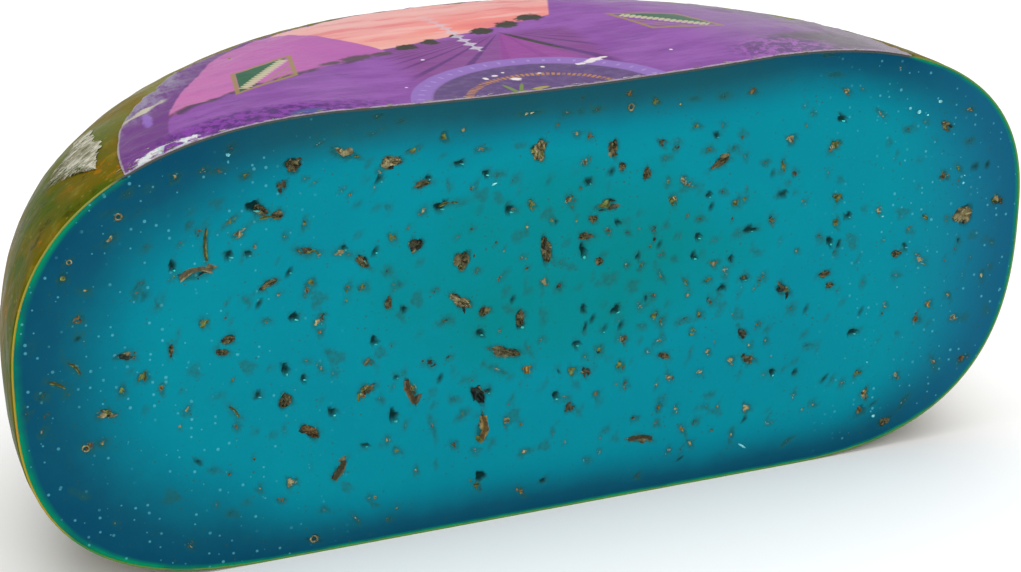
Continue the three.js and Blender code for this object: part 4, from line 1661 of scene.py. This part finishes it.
@dataclass
class FleckField:
    """Scatter of the smallest flecks, thickest in the middle of the cut."""

    form: WheelForm
    count: int = 430
    seed: int = 7
    least: float = 0.8
    most: float = 2.7
    rind_margin: float = 3.0
    heart: tuple[float, float] = (2.0, 54.0)
    across: float = 52.0
    upward: float = 26.0
    gathered: float = 0.72
    reach: float = 120.0
    farthest: float = 122.0
    lowest: float = 4.0
    highest: float = 101.0
    smallness: float = 1.8
    dim_growth: float = 1.3
    corner_steps: int = 60

    def draw(self, taken: Sequence[Bit]) -> list[Bit]:
        """Draw the flecks, clear of what already lies there.

        Args:
            taken: bits that are placed already.

        Returns:
            The flecks.
        """
        draw = Draw(self.seed)
        found: list[Bit] = []
        while len(found) < self.count:
            gathered = draw.rand() < self.gathered
            x = draw.normal(self.heart[0], self.across) if gathered else draw.uniform(-self.reach, self.reach)
            z = draw.normal(self.heart[1], self.upward)
            long = self.least + (self.most - self.least) * draw.rand() ** self.smallness
            wide = long * draw.uniform(0.45, 0.95)
            lean = draw.uniform(-90.0, 90.0)
            tint = FLECK_TINTS[draw.randint(len(FLECK_TINTS))]
            crowded = any(math.hypot(bit.x - x, bit.z - z) < bit.long * 0.55 + long for bit in taken)
            if crowded or not self.inside(x, z):
                continue
            kind = Kind.PIT if tint in (Tint.BLACK, Tint.DIM) else Kind.CRUMB if long < 1.0 else Kind.HUSK
            growth = self.dim_growth if tint is Tint.DIM else 1.0
            found.append(Bit(kind, tint, x, z, long * growth, wide * growth, lean))
        return found

    def inside(self, x: float, z: float) -> bool:
        """Say whether a place on the cut is well inside the rind."""
        highest = min(self.highest, self.form.top_at(x, 0.0))
        if not self.lowest < z < highest or abs(x) > self.farthest:
            return False
        rind = self.form.rind_distance(np.array([x]), np.array([z]), 0.0)[0]
        return rind > self.rind_margin and not (z < self.form.belly and self.below_corner(x, z))

    def below_corner(self, x: float, z: float) -> bool:
        """Say whether a place is outside the rounded lower corner."""
        level = np.linspace(0.0, 0.5, self.corner_steps)
        out, up = self.form.corner(np.full(self.corner_steps, 0.0 if x > 0 else math.pi), level, 0.0)
        return z < float(np.interp(abs(x), out, up))


@dataclass
class LavenderMaker:
    """Shapes bits of lavender: long way along X, out of the cut along Z, then turned into place."""

    sink: float = 0.12
    ribs: int = 6
    seam: float = 0.002
    palest: float = 0.75
    palest_inside: float = 0.7

    def mottle(self, mesh: Shape, bit: Bit, draw: Draw, dark: float = 0.26) -> None:
        """Tint a bit unevenly, corner by corner.

        Args:
            mesh: the bit's mesh.
            bit: what it is, for its tint.
            draw: the steady source of its unevenness.
            dark: share of its corners that are nearly black.
        """
        chances = [dark, 0.62 - dark / 2, 0.38 - dark / 2]
        paint(mesh, bit.tint.value)
        layer = mesh.verts.layers.float_color[TINT]
        for corner in mesh.verts:
            shade = draw.choice([0.32, 1.0, 1.7], p=chances)
            corner[layer] = (*(min(self.palest, part * shade) for part in bit.tint.value), 1.0)

    def bud(self, bit: Bit, draw: Draw) -> Shape:
        """Make a ribbed bud that the knife has torn open, with dark hollows inside."""
        mesh = bmesh.new()
        bmesh.ops.create_uvsphere(mesh, u_segments=14, v_segments=8, radius=1.0)
        bmesh.ops.rotate(mesh, verts=mesh.verts[:], matrix=Matrix.Rotation(QUARTER, 3, "Y"))
        phase = draw.uniform(0.0, 6.0)
        for corner in mesh.verts:
            turn = math.atan2(corner.co.z, corner.co.y)
            swell = 1 + 0.16 * math.cos(self.ribs * turn + phase) + draw.normal(0.0, 0.13)
            swell *= 1 - 0.28 * corner.co.x
            corner.co.x *= 1 + draw.normal(0.0, 0.07)
            corner.co.y *= swell
            corner.co.z *= swell * 0.8
        bmesh.ops.scale(mesh, verts=mesh.verts[:], vec=(bit.long / 2, bit.wide / 2, bit.wide / 2))
        self.mottle(mesh, bit, draw)
        cut = bmesh.ops.bisect_plane(
            mesh, geom=mesh.verts[:] + mesh.edges[:] + mesh.faces[:], dist=0.0001,
            plane_co=(0.0, 0.0, bit.wide * 0.1),
            plane_no=(draw.normal(0.0, 0.1), draw.normal(0.0, 0.12), 1.0),
            clear_outer=True)["geom_cut"]
        edges = [part for part in cut if isinstance(part, bmesh.types.BMEdge)]
        filled = bmesh.ops.contextual_create(mesh, geom=edges)["faces"]
        if not filled:
            return mesh
        face_out(mesh)
        bmesh.ops.inset_region(mesh, faces=filled, thickness=bit.wide * 0.12, depth=0.0)
        inner = bmesh.ops.poke(mesh, faces=filled, offset=-bit.wide * 0.1)["faces"]
        spokes = {edge for face in inner for edge in face.edges if edge.calc_length() > bit.wide * 0.3}
        bmesh.ops.subdivide_edges(mesh, edges=list(spokes), cuts=1)
        for corner in mesh.verts:
            if corner.co.z > bit.wide * 0.04 and not corner.is_boundary:
                corner.co.z += draw.normal(-0.04, 0.11) * bit.wide
                shade = draw.choice([0.2, 0.6, 1.0, 1.6], p=[0.3, 0.24, 0.26, 0.2])
                tint = tuple(min(self.palest_inside, part * shade) for part in bit.tint.value)
                paint(mesh, tint, [corner])
        return mesh

    def husk(self, bit: Bit, draw: Draw) -> Shape:
        """Make a thin curled husk with a torn end."""
        mesh = bmesh.new()
        bmesh.ops.create_grid(mesh, x_segments=6, y_segments=3, size=1.0)
        curl, twist = draw.uniform(0.5, 1.3), draw.uniform(-0.6, 0.6)
        for corner in mesh.verts:
            x, y, _ = corner.co
            narrow = math.sqrt(max(0.06, 1 - 0.9 * abs(x) ** 2.4)) * (1 + draw.normal(0.0, 0.22))
            turn = y * curl + twist * x
            corner.co = (
                x * bit.long / 2 * (1 + draw.normal(0.0, 0.08)),
                math.sin(turn) * bit.wide / 2 * narrow / max(0.5, math.sin(min(curl, QUARTER))),
                -math.cos(turn) * bit.wide * 0.32 + draw.normal(0.0, 0.05),
            )
        self.mottle(mesh, bit, draw, 0.3)
        bmesh.ops.translate(mesh, verts=mesh.verts[:], vec=(0.0, 0.0, bit.wide * 0.12))
        bmesh.ops.solidify(mesh, geom=mesh.faces[:], thickness=0.12)
        return mesh

    def stalk(self, bit: Bit, draw: Draw) -> Shape:
        """Make a bent piece of stalk, split along one side."""
        mesh = bmesh.new()
        bmesh.ops.create_cone(
            mesh, cap_ends=True, segments=7, radius1=bit.wide / 2, radius2=bit.wide * 0.4, depth=bit.long)
        bmesh.ops.rotate(mesh, verts=mesh.verts[:], matrix=Matrix.Rotation(QUARTER, 3, "Y"))
        lengths = [edge for edge in mesh.edges if edge.calc_length() > bit.long * 0.8]
        bmesh.ops.subdivide_edges(mesh, edges=lengths, cuts=6)
        self.mottle(mesh, bit, draw, 0.2)
        bend = draw.normal(0.0, 0.1) * bit.long
        for corner in mesh.verts:
            share = corner.co.x / (bit.long / 2)
            split = 0.55 if corner.co.z > bit.wide * 0.3 else 1.0
            corner.co.z = corner.co.z * split * 0.8
            corner.co.y += bend * (1 - share * share) + draw.normal(0.0, bit.wide * 0.09)
            if split < 1.0:
                paint(mesh, tuple(part * 0.35 for part in bit.tint.value), [corner])
        return mesh

    def ring(self, bit: Bit, draw: Draw) -> Shape:
        """Make a hollow stalk that the knife cut straight across."""
        mesh = bmesh.new()
        section = bmesh.ops.create_circle(mesh, segments=6, radius=0.24)["verts"]
        bmesh.ops.rotate(mesh, verts=section, matrix=Matrix.Rotation(QUARTER, 3, "X"))
        bmesh.ops.translate(mesh, verts=section, vec=(0.78, 0.0, 0.0))
        bmesh.ops.spin(
            mesh, geom=section + mesh.edges[:], axis=(0.0, 0.0, 1.0), cent=(0.0, 0.0, 0.0),
            dvec=(0.0, 0.0, 0.0), angle=2 * math.pi, steps=12, use_merge=True, use_duplicate=False)
        self.mottle(mesh, bit, draw, 0.3)
        bmesh.ops.scale(mesh, verts=mesh.verts[:], vec=(bit.long / 2, bit.wide / 2, 0.6))
        for corner in mesh.verts:
            corner.co.z += draw.normal(0.0, 0.03)
        return mesh

    def crumb(self, bit: Bit, draw: Draw) -> Shape:
        """Make an uneven crumb."""
        mesh = bmesh.new()
        bmesh.ops.create_icosphere(mesh, subdivisions=1, radius=1.0)
        self.mottle(mesh, bit, draw, 0.0 if bit.tint in (Tint.CYAN, Tint.PAINTED_GLINT) else 0.3)
        for corner in mesh.verts:
            corner.co *= 1 + draw.normal(0.0, 0.16)
        bmesh.ops.scale(mesh, verts=mesh.verts[:], vec=(bit.long / 2, bit.wide / 2, bit.wide * 0.35))
        return mesh

    def add(self, whole: Shape, bit: Bit, draw: Draw) -> None:
        """Shape one bit, turn it into place in the cut and add it to a mesh.

        Args:
            whole: the mesh that it joins.
            bit: what to make.
            draw: the steady source of its unevenness.
        """
        makers: dict[Kind, Callable[[Bit, Draw], Shape]] = {
            Kind.BUD: self.bud, Kind.HUSK: self.husk, Kind.STALK: self.stalk, Kind.RING: self.ring,
            Kind.CRUMB: self.crumb,
        }
        mesh = makers[bit.kind](bit, draw)
        bmesh.ops.remove_doubles(mesh, verts=mesh.verts[:], dist=self.seam)
        turn = math.radians(bit.lean)
        into_cut = Matrix((
            (math.cos(turn), -math.sin(turn), 0.0, bit.x),
            (0.0, 0.0, -1.0, self.sink + bit.wide * 0.06),
            (math.sin(turn), math.cos(turn), 0.0, bit.z),
            (0.0, 0.0, 0.0, 1.0),
        ))
        bmesh.ops.transform(mesh, matrix=into_cut, verts=mesh.verts[:])
        face_out(mesh)
        join(whole, mesh)

    def companions(self, bit: Bit, draw: Draw) -> list[Bit]:
        """Break a large bit up: shreds and crumbs that lie against it.

        Args:
            bit: the large bit.
            draw: the steady source of their places.

        Returns:
            The bit and what lies by it.
        """
        turn = math.radians(bit.lean)
        found = [bit]
        shades = (Tint.DARK, Tint.TAN, Tint.BROWN, Tint.OLIVE, Tint.BLACK)
        for order in range(5):
            along = draw.uniform(-0.6, 0.6) * bit.long
            aside = draw.choice((-1.0, 1.0)) * bit.wide * draw.uniform(0.15, 0.6)
            x = bit.x + along * math.cos(turn) - aside * math.sin(turn)
            z = bit.z + along * math.sin(turn) + aside * math.cos(turn)
            long = bit.long * draw.uniform(0.24, 0.55)
            kind = Kind.HUSK if order < 4 else Kind.CRUMB
            lean = bit.lean + draw.normal(0.0, 35.0)
            tint = shades[draw.randint(len(shades))]
            found.append(Bit(kind, tint, x, z, long, max(0.5, long * 0.5), lean))
        return found


@dataclass
class Lavender(Part):
    """All the lavender in the cut: thirty large bits, each its own piece, and the small ones by sort."""

    seed: int = 23
    large: list[Bit] = field(default_factory=list)
    small: list[Bit] = field(default_factory=list)

    def plan(self) -> list[Bit]:
        """Place every bit: the large ones where the CAD has them.

        Returns:
            All the bits.
        """
        for order, (kind, long, wide, lean, tint) in enumerate(LARGE_BITS):
            low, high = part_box(f"lavender_bud_{order + 1:02d}")
            x, z = (low.x + high.x) / 2 / MM, (low.z + high.z) / 2 / MM
            self.large.append(Bit(kind, tint, x, z, long, wide, lean))
        for (kind, tint), rows in SMALL_BITS.items():
            placed = [Bit(kind, tint, *row) for row in rows]
            self.small += placed
            if kind is Kind.PIT:
                self.small += [self.beside(pit) for pit in placed]
        self.small += FleckField(self.form).draw(self.large + self.small)
        return self.large + self.small

    def beside(self, pit: Bit) -> Bit:
        """Make what shows by a pit: a husk deep in a dim stain, else a pale crumb at its lower edge, which is
        a painted highlight.
        """
        if pit.tint is Tint.DIM:
            return Bit(Kind.HUSK, Tint.SUNKEN, pit.x, pit.z, pit.long * 0.7, pit.wide * 0.7, pit.lean + 25.0)
        # Painted highlight: a pale crumb along the pit's lower edge.
        x, z = pit.x + pit.long * 0.3, pit.z - pit.wide * 0.55
        return Bit(Kind.CRUMB, Tint.PAINTED_GLINT, x, z, pit.long * 0.55, pit.wide * 0.26, pit.lean - 15.0)

    def build(self, finish: Material) -> None:
        """Make the bits.

        Args:
            finish: their material.
        """
        maker = LavenderMaker()
        for order, bit in enumerate(self.large):
            draw = Draw(self.seed + order)
            mesh = bmesh.new()
            for part in maker.companions(bit, draw):
                maker.add(mesh, part, draw)
            name = f"{order + 1:02d}"
            self.settler.settle(
                mesh, f"lavender_bit_{name}", [finish], "lavender", [f"lavender_bud_{name}"], rounded=False)
        draw = Draw(self.seed)
        for kind in (Kind.BUD, Kind.HUSK, Kind.STALK, Kind.RING, Kind.CRUMB):
            mesh = bmesh.new()
            for bit in self.small:
                if bit.kind is kind:
                    maker.add(mesh, bit, draw)
            self.settler.settle(mesh, f"small_{kind.name.lower()}s", [finish], "lavender", rounded=False)


@dataclass
class Studio:
    """Pale floor, soft light and the camera."""

    lens: float = 84.62
    sensor: float = 36.0
    azimuth: float = -22.56
    elevation: float = 21.09
    distance: float = 549.4
    aim: tuple[float, float, float] = (-9.44, -58.56, 56.55)
    floor_size: float = 6.0
    lit: tuple[float, float, float] = (0.0, 0.0, 0.05)
    room_light: float = 0.55

    def floor(self, finish: Material) -> None:
        """Lay the floor.

        Args:
            finish: its material.
        """
        mesh = bmesh.new()
        bmesh.ops.create_grid(mesh, x_segments=2, y_segments=2, size=self.floor_size)
        data = bpy.data.meshes.new("floor")
        mesh.to_mesh(data)
        mesh.free()
        data.materials.append(finish)
        floor = bpy.data.objects.new("floor", data)
        bpy.context.scene.collection.objects.link(floor)

    def lamp(self, name: str, place: Sequence[float], size: float, power: float) -> None:
        """Hang a soft square lamp that faces the cheese.

        Args:
            name: its name.
            place: where it hangs, in metres.
            size: its side in metres.
            power: in watts.
        """
        data = bpy.data.lights.new(name, "AREA")
        data.shape = "SQUARE"
        data.size = size
        data.energy = power
        lamp = bpy.data.objects.new(name, data)
        lamp.location = place
        ray = Vector(self.lit) - Vector(place)
        lamp.rotation_euler = ray.to_track_quat("-Z", "Y").to_euler()
        bpy.context.scene.collection.objects.link(lamp)

    def light(self) -> None:
        """Fill the room with even white light and hang two soft lamps."""
        world = bpy.data.worlds.new("studio")
        world.use_nodes = True
        sky = world.node_tree.nodes["Background"]
        sky.inputs["Color"].default_value = (1.0, 1.0, 1.0, 1.0)
        sky.inputs["Strength"].default_value = self.room_light
        bpy.context.scene.world = world
        self.lamp("front_lamp", (-0.5, -2.3, 1.2), 2.2, 30.0)
        self.lamp("top_lamp", (0.2, 0.3, 2.0), 2.4, 34.0)

    def camera(self) -> None:
        """Set up the camera in front of the cut, a little to its left and above."""
        turn, rise = math.radians(self.azimuth), math.radians(self.elevation)
        back = Vector((math.sin(turn) * math.cos(rise), -math.cos(turn) * math.cos(rise), math.sin(rise)))
        data = bpy.data.cameras.new("camera")
        data.lens = self.lens
        data.sensor_width = self.sensor
        data.sensor_fit = "HORIZONTAL"
        data.clip_start = 0.01
        data.clip_end = 50.0
        camera = bpy.data.objects.new("camera", data)
        camera.location = (Vector(self.aim) + back * self.distance) * MM
        camera.rotation_mode = "QUATERNION"
        camera.rotation_quaternion = (-back).to_track_quat("-Z", "Y")
        bpy.context.scene.collection.objects.link(camera)
        bpy.context.scene.camera = camera
        bpy.context.scene.view_settings.view_transform = "Standard"


def main() -> None:
    """Build the cheese round its CAD frame and light it."""
    logging.basicConfig(level=logging.INFO, format="%(name)s: %(message)s")
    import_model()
    form = WheelForm.from_frame()
    settler = Settler(form)
    finishes = {finish.name: finish.material(form.cut_y) for finish in (
        PasteFinish(), CoatFinish(), CutCoatFinish(), PrintedPaper(), PaperEdgeFinish(), FibreFinish(),
        LavenderFinish(), FloorFinish(),
    )}
    lavender = Lavender(form, settler)
    bits = lavender.plan()
    Paste(form, settler, bits).build(finishes["blue_green_paste"])
    Coat(form, settler).build(finishes["olive_coating"], finishes["cut_coating"])
    Label(form, settler).build(finishes["printed_label"], finishes["paper_edge"])
    Scrap(form, settler).build(finishes["torn_fibre"])
    LabelTear(form, settler).build(finishes["torn_fibre"])
    lavender.build(finishes["dried_lavender"])
    studio = Studio()
    studio.floor(finishes["pale_floor"])
    studio.light()
    studio.camera()


if __name__ == "__main__":
    main()
